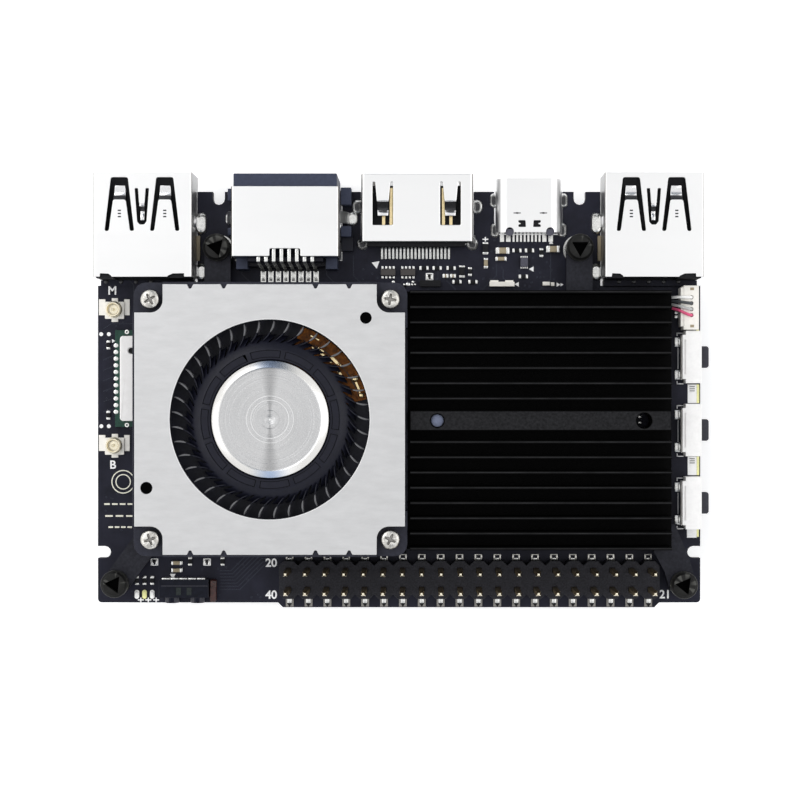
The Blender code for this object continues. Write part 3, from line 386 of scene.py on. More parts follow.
def turned_metal(name, centre, across, along, spread, ring_size, relief_height):
    """Metal turned about a vertical axis, with lathe rings. Its colour is painted, in object space,
    from one colour on its long axis to another across it: a painted bow-tie of highlight and
    shade, as turned rings show under soft light."""
    made = surface(name, along, 0.26, 1.0, vary=0.03, grain=2.0, bump=0.02)
    tree = made.node_tree
    shader = tree.nodes["Principled BSDF"]
    shader.inputs["Anisotropic"].default_value = 0.6
    where = add_node(tree, "TexCoord")
    offset = add_node(tree, "VectorMath", {1: (centre[0] * MM, centre[1] * MM, 0)},
                      operation="SUBTRACT")
    flat = add_node(tree, "VectorMath", {1: (1, 1, 0)}, operation="MULTIPLY")
    length = add_node(tree, "VectorMath", operation="LENGTH")
    unit = add_node(tree, "VectorMath", operation="NORMALIZE")
    parts = add_node(tree, "SeparateXYZ")
    sideways = add_node(tree, "Math", operation="ABSOLUTE")
    # Painted highlight and shade: the colour follows the angle about the axis, not the light.
    tint = two_tones(tree, across, along, 0.0, spread, "EASE")
    rings = add_node(tree, "TexNoise", noise_dimensions="1D")
    rings.inputs["Scale"].default_value = 1000.0 / ring_size
    rings.inputs["Detail"].default_value = 4.0
    relief = add_node(tree, "Bump", {"Strength": 0.5, "Distance": relief_height * MM})
    tangent = add_node(tree, "Tangent", direction_type="RADIAL", axis="Z")
    node_link(tree, (where, "Object", offset, 0), (offset, 0, flat, 0), (flat, 0, length, 0),
              (flat, 0, unit, 0), (unit, 0, parts, 0), (parts, "X", sideways, 0),
              (sideways, "Value", tint, "Fac"), (tint, "Color", shader, "Base Color"),
              (length, "Value", rings, "W"), (rings, "Fac", relief, "Height"),
              (relief, "Normal", shader, "Normal"), (tangent, "Tangent", shader, "Tangent"))
    return made


MASK = surface("board_mask", (0.0160, 0.0165, 0.0275), 0.4, vary=0.3, grain=3.0, fine=0.2,
               spread=0.06, specular=0.12)
TRACE = surface("board_trace", (0.021, 0.024, 0.038), 0.35, vary=0.2, grain=2.0, specular=0.2)
STEEL = surface("socket_steel", (0.90, 0.90, 0.90), 0.3, 1.0, vary=0.015, grain=6.0,
                stretch=(0.2, 1, 1), bump=0.004, fine=0.2, spread=0.02)
# Dark grey steel: painted shade on the sockets' sloping rims and in the cross-screw recesses; the
# header's front pads use it too.
STEEL_RIM = surface("socket_steel_rim", (0.27, 0.26, 0.245), 0.35, 1.0, vary=0.15, grain=0.6)
SPRING = surface("spring_steel", (0.80, 0.80, 0.81), 0.2, 1.0, vary=0.06, grain=0.6, bump=0.04)
SHADED_STEEL = surface("shaded_steel", (0.05, 0.05, 0.054), 0.3, 0.6, vary=0.3, grain=0.4)
COVER = surface("fan_cover_silver", (0.625, 0.625, 0.63), 0.42, 1.0, vary=0.05, grain=0.9,
                stretch=(0.3, 1, 1), bump=0.16, fine=0.10)
# Painted shade: the sides of the socket shells, darker than their tops.
STEEL_SIDE_SHADE = surface("socket_steel_side_painted_shade", (0.42, 0.42, 0.42), 0.35, 1.0, vary=0.1, grain=0.8,
                     stretch=(1, 0.3, 1), bump=0.05)
# Painted shade: the pins' sides, a darker copy of their gold.
PIN_SIDE_SHADE = surface("pin_side_painted_shade", (0.26, 0.20, 0.11), 0.35, 1.0, vary=0.15, grain=0.3)
ANODISED = surface("black_anodised", (0.0011, 0.0011, 0.0012), 0.5, vary=0.4, bump=0.3,
                   specular=0.04)
# Painted light: the heatsink's upward arm faces, a lighter copy of its black.
ARM_TOP_LIGHT = surface("arm_top_painted_light", (0.019, 0.0195, 0.026), 0.45, vary=0.3, grain=0.4, bump=0.3,
                  specular=0.12)
# Painted highlights: thin lighter strips along the tops of the fins and the rib.
FIN_TOP_HIGHLIGHT = surface("fin_top_painted_highlight", (0.014, 0.014, 0.015), 0.4, vary=0.5, grain=0.8,
                  stretch=(0.3, 1, 1), bump=0.3, fine=0.08, specular=0.1)
RIB_TOP_LIGHT = surface("rib_top_painted_light", (0.015, 0.015, 0.0165), 0.5, vary=0.5, grain=0.3, bump=0.4,
                  fine=0.08, specular=0.06)
# Painted shade: near black floors put in recesses where shade falls.
SHADE_BLACK = surface("painted_shade_black", (0.0007, 0.0007, 0.0007), 0.6, bump=0.2, specular=0.02)
# Black bolt heads: their lighter edges are a painted highlight on the chamfers.
BOLT_BLACK = surface("bolt_black", (0.0055, 0.0055, 0.0055), 0.4, vary=0.4, grain=0.4,
                     bump=0.3, fine=0.08, specular=0.12, edge_wear_and_sheen=(0.07, 0.07, 0.065))
BLACK = surface("black_moulding", (0.010, 0.010, 0.012), 0.5, vary=0.35, grain=0.25, bump=0.35,
                specular=0.12)
HEADER_BLACK = surface("header_moulding", (0.020, 0.020, 0.025), 0.55, vary=0.45, grain=0.22,
                       bump=0.45, fine=0.07, specular=0.15)
FAN_BLACK = surface("fan_moulding", (0.0070, 0.0075, 0.0150), 0.4, vary=0.2, grain=0.6, bump=0.15,
                    specular=0.22)
FAN_TRAY = surface("fan_tray_moulding", (0.020, 0.021, 0.032), 0.45, vary=0.25, bump=0.2,
                   specular=0.2)
# Painted highlight: the blades' outer parts, a lighter copy of the fan's black.
BLADE_HIGHLIGHT = surface("fan_blade_painted_highlight", (0.12, 0.12, 0.128), 0.4, vary=0.15, grain=0.3, bump=0.2,
                specular=0.3)
CASE = surface("button_case_white", (0.93, 0.92, 0.91), 0.45, vary=0.04, grain=0.7, bump=0.12,
               fine=0.08, specular=0.3)
BLUE_GREY = surface("blue_grey_moulding", (0.035, 0.042, 0.072), 0.5, vary=0.15, grain=0.4,
                    bump=0.4, specular=0.25)
CREAM = surface("cream_moulding", (0.90, 0.875, 0.82), 0.45, vary=0.05, grain=0.7, bump=0.15,
                fine=0.08, specular=0.3)
GOLD = surface("gold_plate", (0.88, 0.72, 0.42), 0.24, 1.0, vary=0.1, grain=0.3, bump=0.08)
PALE_GOLD = surface("pale_gold_plate", (0.93, 0.86, 0.68), 0.3, 1.0, vary=0.06, grain=0.3)
TIN = surface("solder_tin", (0.80, 0.80, 0.78), 0.28, 1.0, grain=0.25, bump=0.35, fine=0.12)
# Nickel posts, screws and pads: their lighter edges are part wear, part painted highlight.
NICKEL = surface("nickel_plate", (0.50, 0.485, 0.45), 0.34, 1.0, vary=0.22, grain=0.25,
                 bump=0.4, fine=0.08, edge_wear_and_sheen=(0.80, 0.79, 0.75))
PRINT = surface("white_print", (1.0, 1.0, 1.0), 0.6, vary=0.04, grain=0.15)
PRINT_GOLD = surface("cream_print", (0.90, 0.87, 0.74), 0.55, grain=0.15, bump=0.3)
GREEN = surface("green_laminate", (0.020, 0.062, 0.045), 0.4, vary=0.25, bump=0.15, specular=0.2)
CAN = surface("shield_can", (0.96, 0.94, 0.93), 0.4, 0.1, vary=0.05, grain=1.0)
RESIN = surface("chip_resin", (0.012, 0.012, 0.014), 0.55, vary=0.35, grain=0.15, bump=0.4,
                specular=0.15)
GREY_RESIN = surface("grey_resin", (0.085, 0.085, 0.11), 0.5, vary=0.2, grain=0.15, bump=0.3,
                     specular=0.2)
TAUPE = surface("taupe_resin", (0.075, 0.068, 0.066), 0.5, vary=0.25, grain=0.12, bump=0.4,
                specular=0.2)
CERAMIC = surface("tan_ceramic", (0.34, 0.28, 0.18), 0.45, vary=0.15, grain=0.1, bump=0.3)
SMOKED = surface("smoked_epoxy", (0.007, 0.008, 0.014), 0.15, vary=0.3, grain=0.6, bump=0.05,
                 specular=0.1)
SMOKED_WINDOW = surface("smoked_window", (0.008, 0.013, 0.013), 0.2, vary=0.4, grain=0.25,
                        bump=0.2, specular=0.3)
COPPER_RED = surface("red_brown_part", (0.038, 0.010, 0.008), 0.4, vary=0.9, grain=0.25, bump=0.8,
                     fine=0.15)
FLEX = surface("flex_film", (0.26, 0.085, 0.010), 0.4, vary=0.7, grain=0.7, bump=0.2,
               specular=0.15)
PLUNGER = surface("plunger_plastic", (0.036, 0.036, 0.046), 0.45, vary=0.15, grain=0.4,
                  bump=0.3, specular=0.2)
PAD = surface("thermal_pad", (0.155, 0.175, 0.25), 0.8, grain=0.2, bump=0.5, specular=0.1)
FERRITE = surface("ferrite", (0.04, 0.04, 0.042), 0.6, 0.3, vary=0.3, grain=0.3, bump=0.5)
COIL = surface("coil_copper", (0.55, 0.22, 0.08), 0.3, 0.9, vary=0.2, grain=0.2, bump=0.4,
               stretch=(1, 1, 4))
LENS_WHITE = surface("lamp_white", (1.0, 1.0, 0.97), 0.3, vary=0.04, grain=0.2)
LENS_LIME = surface("lamp_lime", (0.92, 0.90, 0.42), 0.3, vary=0.08, grain=0.2)
WIRES = [
    surface("wire_white", (0.98, 0.97, 0.95), 0.4, vary=0.03, grain=0.4, bump=0.1),
    surface("wire_charcoal", (0.055, 0.062, 0.068), 0.4, vary=0.2, grain=0.4, bump=0.1),
    surface("wire_grey", (0.50, 0.51, 0.50), 0.4, vary=0.1, grain=0.4, bump=0.1),
    surface("wire_pink", (0.74, 0.095, 0.22), 0.4, vary=0.12, grain=0.4, bump=0.1),
]


# ---------------------------------------------------------------- camera, floor and light


def soft_tent(tree):
    """A white light tent with a darker gap low down at its front and at its back."""
    where = add_node(tree, "TexCoord")
    split = add_node(tree, "SeparateXYZ")
    gap = add_node(tree, "Math", operation="MULTIPLY")
    tint = two_tones(tree, (1.0, 1.0, 1.0), (0.13, 0.16, 0.20))
    node_link(tree, (where, "Generated", split, "Vector"), (gap, "Value", tint, "Fac"),
              (tint, "Color", tree.nodes["Background"], "Color"))
    for socket, (axis, near, far, low, high) in enumerate((("X", 0.12, 0.36, 1.0, 0.0),
                                                           ("Y", 0.17, 0.42, 0.0, 1.0))):
        size = add_node(tree, "Math", operation="ABSOLUTE")
        fade = add_node(tree, "MapRange", {"From Min": near, "From Max": far, "To Min": low,
                                           "To Max": high}, interpolation_type="SMOOTHSTEP")
        node_link(tree, (split, axis, size, 0), (size, "Value", fade, "Value"),
                  (fade, "Result", gap, socket))


CAMERA_HEIGHT = 260.0
FLOOR_REACH = 900


def studio():
    """A camera straight above the board, a pale floor and soft light from all round."""
    data = bpy.data.cameras.new("camera")
    data.lens = 86.9
    data.sensor_width = 36.0
    data.shift_x = -0.0312
    data.clip_start = 0.01
    camera = bpy.data.objects.new("camera", data)
    camera.location = (0.00303, -0.00109, (TOP + CAMERA_HEIGHT) * MM)
    bpy.context.scene.collection.objects.link(camera)
    bpy.context.scene.camera = camera

    bm = bmesh.new()
    extrude(bm, centred(0, 0, 2 * FLOOR_REACH, 2 * FLOOR_REACH), -TOP - 2, -TOP - 0.01)
    floor = to_mesh("floor", bm)
    for vertex in floor.data.vertices:
        vertex.co = (vertex.co + Vector((0, 0, TOP))) * MM
    pale = surface("pale_floor", (0.96, 0.96, 0.96), 0.8, vary=0.01, grain=60.0, bump=0.0)
    glow = pale.node_tree.nodes["Principled BSDF"]
    glow.inputs["Emission Color"].default_value = (1, 1, 1, 1)
    glow.inputs["Emission Strength"].default_value = 0.35
    floor.data.materials.append(pale)

    world = bpy.data.worlds.new("studio")
    world.use_nodes = True
    soft_tent(world.node_tree)
    bpy.context.scene.world = world

    for name, spot, size, power in (
        ("key", (-0.32, 0.42, 0.62), 0.45, 1.3),
        ("fill", (0.45, 0.05, 0.55), 0.40, 0.7),
        ("front", (0.0, -0.55, 0.40), 0.35, 0.4),
        ("side", (-0.48, -0.08, 0.45), 0.40, 0.55),
    ):
        lamp = bpy.data.lights.new(name, "AREA")
        lamp.size = size
        lamp.energy = power
        light = bpy.data.objects.new(name, lamp)
        light.location = spot
        aim = Vector((0, 0, 0)) - Vector(spot)
        light.rotation_euler = aim.to_track_quat("-Z", "Y").to_euler()
        bpy.context.scene.collection.objects.link(light)
    bpy.context.scene.view_settings.view_transform = "Standard"


studio()


# ---------------------------------------------------------------- circuit board


def board():
    """The board itself, its pads and rings, faint traces and vias."""
    as_cad("circuit_board", "pcb", MASK, bevel=0.06)
    rng = random.Random(7)
    rear_edge = place("pcb")[1].y

    bm = bmesh.new()
    for i in range(16):
        y = 14.4 - 0.05 * i
        x = -36.0 + 3.9 * i + rng.uniform(-0.5, 0.5)
        bend = rng.choice((-1, 1)) * rng.uniform(1.0, 2.2)
        path = [(x, y - 6, 0.0), (x, y, 0.0), (x + bend, y + abs(bend), 0.0),
                (x + bend, min(y + abs(bend) + rng.uniform(0.6, 4.0), rear_edge - 0.8), 0.0)]
        sweep(bm, path, centred(0, 0.004, 0.14, 0.03))
    for i in range(7):
        y = -26.6 + 0.42 * i
        path = [(-24.6, y, 0.0), (-21.9 - 0.2 * i, y, 0.0), (-18.6 - 0.2 * i, y + 3.3, 0.0),
                (-16.8, y + 3.3, 0.0)]
        sweep(bm, path, centred(0, 0.004, 0.14, 0.03))
    for i in range(9):
        y = 9.2 - 1.4 * i
        path = [(-36.4, y, 0.0), (-39.2 + 0.15 * i, y, 0.0), (-40.3, y - 0.7, 0.0)]
        sweep(bm, path, centred(0, 0.004, 0.12, 0.03))
    piece("board_traces", bm, TRACE)

    bm = bmesh.new()
    for count, x0, x1, y0, y1 in ((46, -40.2, -36.6, -19, 13), (40, 11, 21, 14.2, 20.5),
                                  (26, -37, -17, -28, -22.6), (20, -7, 11, 14.2, 16.8)):
        for _ in range(count):
            washer(bm, rng.uniform(x0, x1), rng.uniform(y0, y1), 0.07, 0.15, 0.0, 0.012, 12)
    piece("board_vias", bm, TRACE)

    bm = bmesh.new()
    for node in ("mount_bolt_1", "mount_bolt_2"):
        x, y = middle_of(node)
        turn(bm, [(1.2, 0.0), (1.98, 0.0), (1.95, 0.035), (1.2, 0.035)], x, y, 48)
    for number in range(1, 5):
        x, y = middle_of(f"mount_bolt_{number}")
        turn(bm, [(1.2, UNDERSIDE - 0.035), (2.2, UNDERSIDE - 0.035), (2.25, UNDERSIDE),
                  (1.2, UNDERSIDE)], x, y, 48)
    piece("bolt_hole_rings", bm, TIN)


def text(name, words, x, y, size, finish):
    """A generic printed mark on the board."""
    curve = bpy.data.curves.new(name, "FONT")
    curve.body = words
    curve.size = size * MM
    curve.extrude = 0.01 * MM
    curve.offset = 0.035 * MM
    curve.align_x = "CENTER"
    curve.align_y = "CENTER"
    curve.materials.append(finish)
    made = bpy.data.objects.new(name, curve)
    made.location = (x * MM, y * MM, (TOP + 0.02) * MM)
    bpy.context.scene.collection.objects.link(made)
    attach(made, "board")


def printing():
    """Generic letters, pin numbers, arrows, plus signs and outlines in white print."""
    for name, words, x, y in (("mark_m", "M", -39.06, 13.6), ("mark_b", "B", -38.99, -9.85),
                              ("mark_20", "20", -17.66, -23.05),
                              ("mark_40", "40", -17.66, -27.35), ("mark_21", "21", 35.35, -27.3)):
        text(name, words, x, y, 1.55, PRINT)
    bm = bmesh.new()
    for x, y in ((11.16, 20.55), (-35.22, -28.0), (-34.22, -28.0), (-33.16, -28.0)):
        for width, depth in ((0.8, 0.16), (0.16, 0.62)):
            lift = 0.0 if width > depth else 0.003
            extrude(bm, centred(x, y, width, depth), lift, PRINT_THICK + lift)
    for x, y, start, size in ((20.0, 20.1, 90, 0.34), (17.44, 16.54, 180, 0.42),
                              (15.47, 14.49, 180, 0.38), (20.92, 14.44, 0, 0.34),
                              (21.41, 14.44, 0, 0.26), (-30.92, -24.72, 270, 0.45),
                              (-38.96, 6.86, 0, 0.3), (-3.57, 17.2, 160, 0.62)):
        extrude(bm, circle(x, y, size, 3, start), 0.0, PRINT_THICK)
    for x, y in ((-40.56, 7.77), (-39.53, 7.77), (-40.54, -4.62), (-39.53, -4.62)):
        extrude(bm, circle(x, y, 0.27, 16), 0.0, PRINT_THICK)
    for y in (4.66, -5.1, -14.85):
        middle = y + BUTTON_SHIFT
        for side in (-1, 1):
            extrude(bm, centred(37.4, middle + side * 3.41, 0.9, 0.12), 0.0, PRINT_THICK)
            extrude(bm, centred(36.98, middle + side * 3.25, 0.12, 0.45), 0.0, PRINT_THICK)
        extrude(bm, centred(37.1, middle, 0.1, 2.9), 0.0, PRINT_THICK)
    for x, y in ((3.66, 15.52), (-33.37, -22.91), (-26.29, -22.91)):
        for dx, dy, w, d in ((-0.42, 0, 0.2, 0.92), (0.42, 0, 0.14, 0.92), (0, 0.42, 0.7, 0.14),
                             (0, -0.42, 0.7, 0.1)):
            extrude(bm, centred(x + dx, y + dy, w, d), 0.0, PRINT_THICK)
    piece("white_marks", bm, PRINT)

    bm = bmesh.new()
    for row, (y, width, count) in enumerate(((-15.1, 4.2, 4), (-16.7, 4.2, 3), (-18.2, 3.4, 4))):
        for i in range(count):
            step = width / count
            extrude(bm, centred(-38.2 - width / 2 + step * (i + 0.5) + 0.1 * row, y,
                                step * 0.72, 0.22), 0.0, PRINT_THICK)
    for radius in (0.9, 1.45):
        washer(bm, -37.6, -12.1, radius, radius + 0.14, 0.0, PRINT_THICK, 40)
    piece("generic_marks", bm, PRINT_GOLD)


board()
printing()


# ---------------------------------------------------------------- small parts on the board


def chip_part(body_bm, end_bm, x, y, length, width, height, upright, reach=0.2):
    """A two-ended part: its middle goes to one mesh and its solderable ends to the other."""
    half = length / 2

    def block(bm, a0, a1, wide, z0, z1):
        outline = (rectangle(x - wide / 2, y + a0, x + wide / 2, y + a1) if upright
                   else rectangle(x + a0, y - wide / 2, x + a1, y + wide / 2))
        extrude(bm, outline, z0, z1)

    block(body_bm, -half + reach, half - reach, width * 0.94, 0.03, height)
    for side in (-1, 1):
        a0, a1 = sorted((side * half, side * (half - reach + 0.01)))
        block(end_bm, a0, a1, width, 0.02, height + 0.02)
        pads = sorted((side * (half + 0.09), side * (half - 0.1)))
        block(end_bm, pads[0], pads[1], width * 0.96, 0.0, 0.05)


def resistors_and_capacitors(ends):
    resistors, ceramics = bmesh.new(), bmesh.new()
    for x, y in ((2.9, 16.66), (4.67, 16.66), (6.55, 16.66), (7.34, 14.8), (9.48, 14.8),
                 (15.41, 19.03), (17.1, 19.03), (16.27, 15.52)):
        chip_part(resistors, ends, x, y, 1.05, 0.52, 0.32, False)
    for x, y in ((9.08, 16.19), (18.69, 18.75), (-28.57, -22.78), (-24.19, -22.78),
                 (-35.73, -25.37), (-34.71, -25.37), (-33.67, -25.37), (-39.56, 6.32),
                 (-39.56, -3.14)):
        chip_part(resistors, ends, x, y, 1.0, 0.5, 0.32, True)
    for x, y in ((8.01, 16.2), (11.16, 19.33)):
        chip_part(resistors, ends, x, y, 1.45, 0.75, 0.5, True, 0.18)
    for y in (10.68, 10.12):
        extrude(ends, centred(36.94, y, 0.62, 0.4), 0.0, 0.3)
    for x, y in ((13.48, 18.98), (20.28, 19.19)):
        chip_part(ceramics, ends, x, y, 1.65, 0.85, 0.75, False, 0.36)
    for x, y, length in ((13.27, 17.9, 1.3), (-30.36, -23.0, 1.3), (-30.36, -23.99, 1.3),
                         (5.8, 15.6, 0.6), (6.8, 15.6, 0.6)):
        chip_part(ceramics, ends, x, y, length, 0.52, 0.5, False)
    chip_part(ceramics, ends, 11.22, 17.33, 1.2, 0.55, 0.5, True)
    chip_part(ceramics, ends, 24.3, 14.6, 0.9, 0.45, 0.4, False)
    piece("resistors", resistors, RESIN, bevel=0.03)
    piece("ceramic_capacitors", ceramics, CERAMIC, bevel=0.05)


def arrays_and_chips(ends):
    arrays = bmesh.new()
    for x in (-1.93, 0.74):
        extrude(arrays, rounded(x - 0.98, 15.66, x + 0.98, 16.5, 0.1), 0.06, 0.55)
        for i in range(4):
            for side in (-1, 1):
                extrude(ends, centred(x - 0.75 + 0.5 * i, 16.08 + side * 0.66, 0.26, 0.36), 0.0,
                        0.09)
    piece("protection_arrays", arrays, TAUPE, bevel=0.04)

    chips = bmesh.new()
    extrude(chips, rectangle(2.35, 14.15, 5.15, 15.0), 0.06, 0.7)
    for x, y in ((3.66, 15.5), (-33.37, -22.88), (-26.29, -22.88)):
        extrude(chips, centred(x - 0.06, y + 0.1, 0.34, 0.44), 0.03, 0.35)
        for side in (-1, 1):
            extrude(ends, centred(x + side * 0.27, y - 0.05, 0.26, 0.66), 0.0, 0.2)
    piece("small_chips", chips, RESIN, bevel=0.04)
    slabs("power_chip", GREY_RESIN, [(centred(16.38, 17.44, 1.0, 1.22), 0.05, 0.5)], bevel=0.05)
    for i in range(4):
        for side in (-1, 1):
            extrude(ends, centred(15.97 + 0.27 * i, 17.44 + side * 0.7, 0.14, 0.3), 0.0, 0.08)
    for x, y, size in ((-1.23, 14.8, 0.22), (0.22, 14.45, 0.18), (0.74, 14.45, 0.3),
                       (1.28, 14.45, 0.18), (1.68, 14.45, 0.16), (1.41, 14.8, 0.2),
                       (22.2, 15.9, 0.16)):
        turn(ends, [(0, 0.05), (size * 0.6, 0.04), (size, 0.0), (0, 0.0)], x, y, 12)


def cream_parts():
    bm = bmesh.new()
    extrude(bm, rectangle(11.7, 14.15, 15.05, 14.78), 0.02, 1.0)
    for x in (12.35, 14.35):
        extrude(bm, centred(x, 14.86, 1.1, 0.26), 0.02, 0.8)
    extrude(bm, centred(19.33, 14.55, 0.95, 0.5), 0.02, 0.55)
    extrude(bm, centred(20.2, 14.5, 0.5, 0.5), 0.02, 0.3)
    piece("cream_parts", bm, CREAM, bevel=0.04)


def lamps():
    for name, x, finish in (("lamp_left", -35.73, LENS_WHITE), ("lamp_middle", -34.71, LENS_LIME),
                            ("lamp_right", -33.67, LENS_WHITE)):
        bm = bmesh.new()
        extrude(bm, stadium(x, -27.24, 0.62, 1.2), 0.02, 0.2)
        mound(bm, stadium(x, -27.24, 0.5, 0.8), 0.2, 0.22, 4, 0.35)
        piece(name, bm, finish, bevel=0.03)


def small_parts():
    """The parts soldered on the board's top; their ends and pads share one mesh."""
    ends = bmesh.new()
    resistors_and_capacitors(ends)
    arrays_and_chips(ends)
    piece("solder_ends", ends, TIN, bevel=0.025)
    cream_parts()
    lamps()


def radio():
    """The radio module: castellated green board, bright can, and its antenna sockets."""
    lo, hi = place("wifi_board")
    green = prisms([rectangle(lo.x, lo.y, hi.x, hi.y)], lo.z, hi.z)
    ys = [6.24 - 0.892 * i for i in range(11)]
    cut(green, [circle(lo.x, y, 0.2, 12) for y in ys], lo.z - 1, hi.z + 1)
    piece("radio_board", green, GREEN, nodes=["wifi_board"], bevel=0.03)
    bm = bmesh.new()
    for y in ys:
        extrude(bm, stadium(lo.x + 0.12, y, 0.62, 0.56), hi.z + 0.005, hi.z + 0.04)
        extrude(bm, stadium(lo.x - 0.02, y, 0.5, 0.5), 0.0, 0.14)
    for y in (8.05, -4.45):
        washer(bm, -37.0, y, 0.12, 0.3, hi.z, hi.z + 0.04, 20)
    piece("radio_pads", bm, TIN, bevel=0.02)
    lo, hi = place("wifi_shield")
    can = prisms([rounded(lo.x, lo.y, hi.x, hi.y, 0.45)], lo.z, hi.z)
    cut(can, [circle(-36.25, 5.5, 0.42, 24)], hi.z - 0.4, hi.z + 1)
    bm = bmesh.new()
    washer(bm, -36.25, 5.5, 0, 0.4, hi.z - 0.42, hi.z - 0.3)
    piece("radio_can_hole", bm, RESIN)
    piece("radio_can", can, CAN, nodes=["wifi_shield"], bevel=0.22, segments=4)

    for name in ("antenna_socket_main", "antenna_socket_second"):
        lo, hi = place(name)
        x, y = -38.8, (lo.y + hi.y) / 2
        slabs(f"{name}_base", CREAM, [(rounded(-40.0, y - 1.25, -37.42, y + 1.05, 0.12), 0.04,
                                       0.42)], bevel=0.05)
        bm = bmesh.new()
        for x0, x1 in ((-40.85, -39.98), (-37.44, -36.7)):
            extrude(bm, rectangle(x0, y - 0.75, x1, y + 1.4), 0.0, 0.16)
        for dy, width in ((1.3, 0.85), (-1.4, 0.9)):
            extrude(bm, centred(x + 0.1, y + dy, width, 0.5), 0.0, 0.12)
        piece(f"{name}_feet", bm, CREAM, bevel=0.03)
        bm = bmesh.new()
        turn(bm, [(0.74, 0.42), (1.12, 0.42), (1.0, 0.55), (0.98, 1.2), (0.93, 1.3), (0.8, 1.3),
                  (0.74, 1.2)], x, y, 48)
        turn(bm, [(0, 0.44), (0.6, 0.44), (0.6, 0.5), (0.2, 0.52), (0.2, 1.15), (0.1, 1.25),
                  (0, 1.25)], x, y, 24)
        piece(f"{name}_ring", bm, PALE_GOLD, nodes=[name])


small_parts()
radio()


# ---------------------------------------------------------------- sockets


def strap(bm, x, stations, thick=0.22):
    """A stamped spring drawn through stations of position, half width and height."""
    rings = []
    for y, half, z in stations:
        rings.append([bm.verts.new(p) for p in ((x - half, y, z), (x + half, y, z),
                                                (x + half, y, z - thick),
                                                (x - half, y, z - thick))])
    skin(bm, rings)


def contact_row(bm, places, path, width, thick):
    """Bent strips side by side; the path gives each strip's position along Y and its height."""
    for x in places:
        sweep(bm, [(x, y, z) for y, z in path], centred(0, 0, width, thick))


def legs(bm, edges, corners, places, half):
    """Legs bent down along the sides of a shell: corners are distances from the side's face
    and heights, and places are the middles of the legs along Y."""
    for side, edge in edges:
        for y in places:
            extrude(bm, [(edge + side * out, z) for out, z in corners], y - half, y + half, "Y")


def tube(outer, inner, rear, front, beyond=1):
    """A shell drawn along Y: one outline with another taken out of it."""
    return cut(prisms([outer], rear, front, "Y"), [inner], rear - beyond, front + 1, "Y")


def steel_shell(node, shell, bevel):
    """A socket's bright shell, with painted shade on its rims and sides."""
    made = piece(f"{node}_steel", shell, STEEL, nodes=[node], bevel=bevel, rim=STEEL_RIM)
    shade_sides(made, STEEL_SIDE_SHADE)


USB_HALF = 6.55  # half the width of a USB shell


def usb_spring_places(x):
    """The two side springs and the middle spring of a USB shell."""
    return (x - 3.05, x + 2.95), x - 0.08


def usb_shell(name, x, outer_side):
    """A USB shell with its spring windows, rear bites and side openings."""
    shell_lo, shell_hi = place(f"{name}_shell")
    rear, front, bottom, top = 15.2, shell_hi.y, shell_lo.z, shell_hi.z
    half, wall = USB_HALF, 0.3
    shell = tube(rounded(x - half, bottom, x + half, top, 0.22, 3),
                 rounded(x - half + wall, bottom + wall, x + half - wall, top - wall, 0.12, 3),
                 rear, front)
    side_springs, mid = usb_spring_places(x)
    windows = [softened([(sx - 1.12, 28.35), (sx - 1.95, 21.25), (sx - 1.4, 21.25),
                         (sx - 0.84, 25.4), (sx + 0.84, 25.4), (sx + 1.4, 21.25),
                         (sx + 1.95, 21.25), (sx + 1.12, 28.35)], 0.28) for sx in side_springs]
    windows.append(softened([(mid - 0.95, 26.9), (mid - 0.5, 26.9), (mid - 0.36, 24.9),
                             (mid + 0.36, 24.9), (mid + 0.5, 26.9), (mid + 0.95, 26.9),
                             (mid + 0.62, 22.5), (mid + 0.3, 22.1), (mid - 0.3, 22.1),
                             (mid - 0.62, 22.5)], 0.14))
    cut(shell, windows, top - 1, top + 1)
    rear_bites = [softened([(x - 5.7, rear - 1), (x - 5.6, rear + 0.45), (x - 4.5, rear + 0.4),
                            (x - 4.1, rear + 0.1), (x - 4.1, rear - 1)], 0.1),
                  softened([(x + 3.2, rear - 1), (x + 3.3, rear + 0.1), (x + 4.0, rear + 0.42),
                            (x + 5.5, rear + 0.45), (x + 5.5, rear - 1)], 0.1)]
    cut(shell, rear_bites, top - 1, top + 1)
    side = x + outer_side * half
    cut(shell, [rounded(16.0, bottom + 1.0, 19.0, bottom + 3.0, 0.3),
                rounded(21.5, bottom + 1.0, 26.5, bottom + 3.0, 0.3)], side - 1, side + 1, "X")
    steel_shell(f"{name}_shell", shell, 0.12)


def usb_springs(name, x):
    """The stamped springs seen in the windows of a USB shell, and its pressed dimples."""
    top = place(f"{name}_shell")[1].z
    side_springs, mid = usb_spring_places(x)
    bm = bmesh.new()
    for sx in side_springs:
        strap(bm, sx, [(26.0, 0.76, top - 0.5), (26.35, 0.75, top - 0.62),
                       (26.8, 0.72, top - 0.62), (27.3, 0.66, top - 0.5)])
    strap(bm, mid, [(25.0, 0.33, top - 0.02), (24.5, 0.32, top - 0.1)])
    strap(bm, mid, [(23.9, 0.28, top - 0.6), (23.6, 0.28, top - 0.66),
                         (23.3, 0.27, top - 0.5), (22.7, 0.25, top - 0.5)])
    bends = bmesh.new()
    for sx in side_springs:
        strap(bends, sx, [(25.34, 0.80, top - 0.02), (25.6, 0.79, top - 0.14),
                          (26.02, 0.76, top - 0.5)])
    strap(bends, mid, [(24.5, 0.32, top - 0.1), (24.3, 0.3, top - 0.4),
                            (23.9, 0.28, top - 0.6)])
    piece(f"{name}_spring_bends", bends, SHADED_STEEL, bevel=0.04)
    piece(f"{name}_springs", bm, SPRING, bevel=0.05)
    slabs(f"{name}_dimples", SHADED_STEEL,
          [(centred(sx, y, 0.5, 0.26), top - 0.2, top + 0.006)
           for sx in side_springs for y in (23.96, 23.55, 23.14)], bevel=0.05)


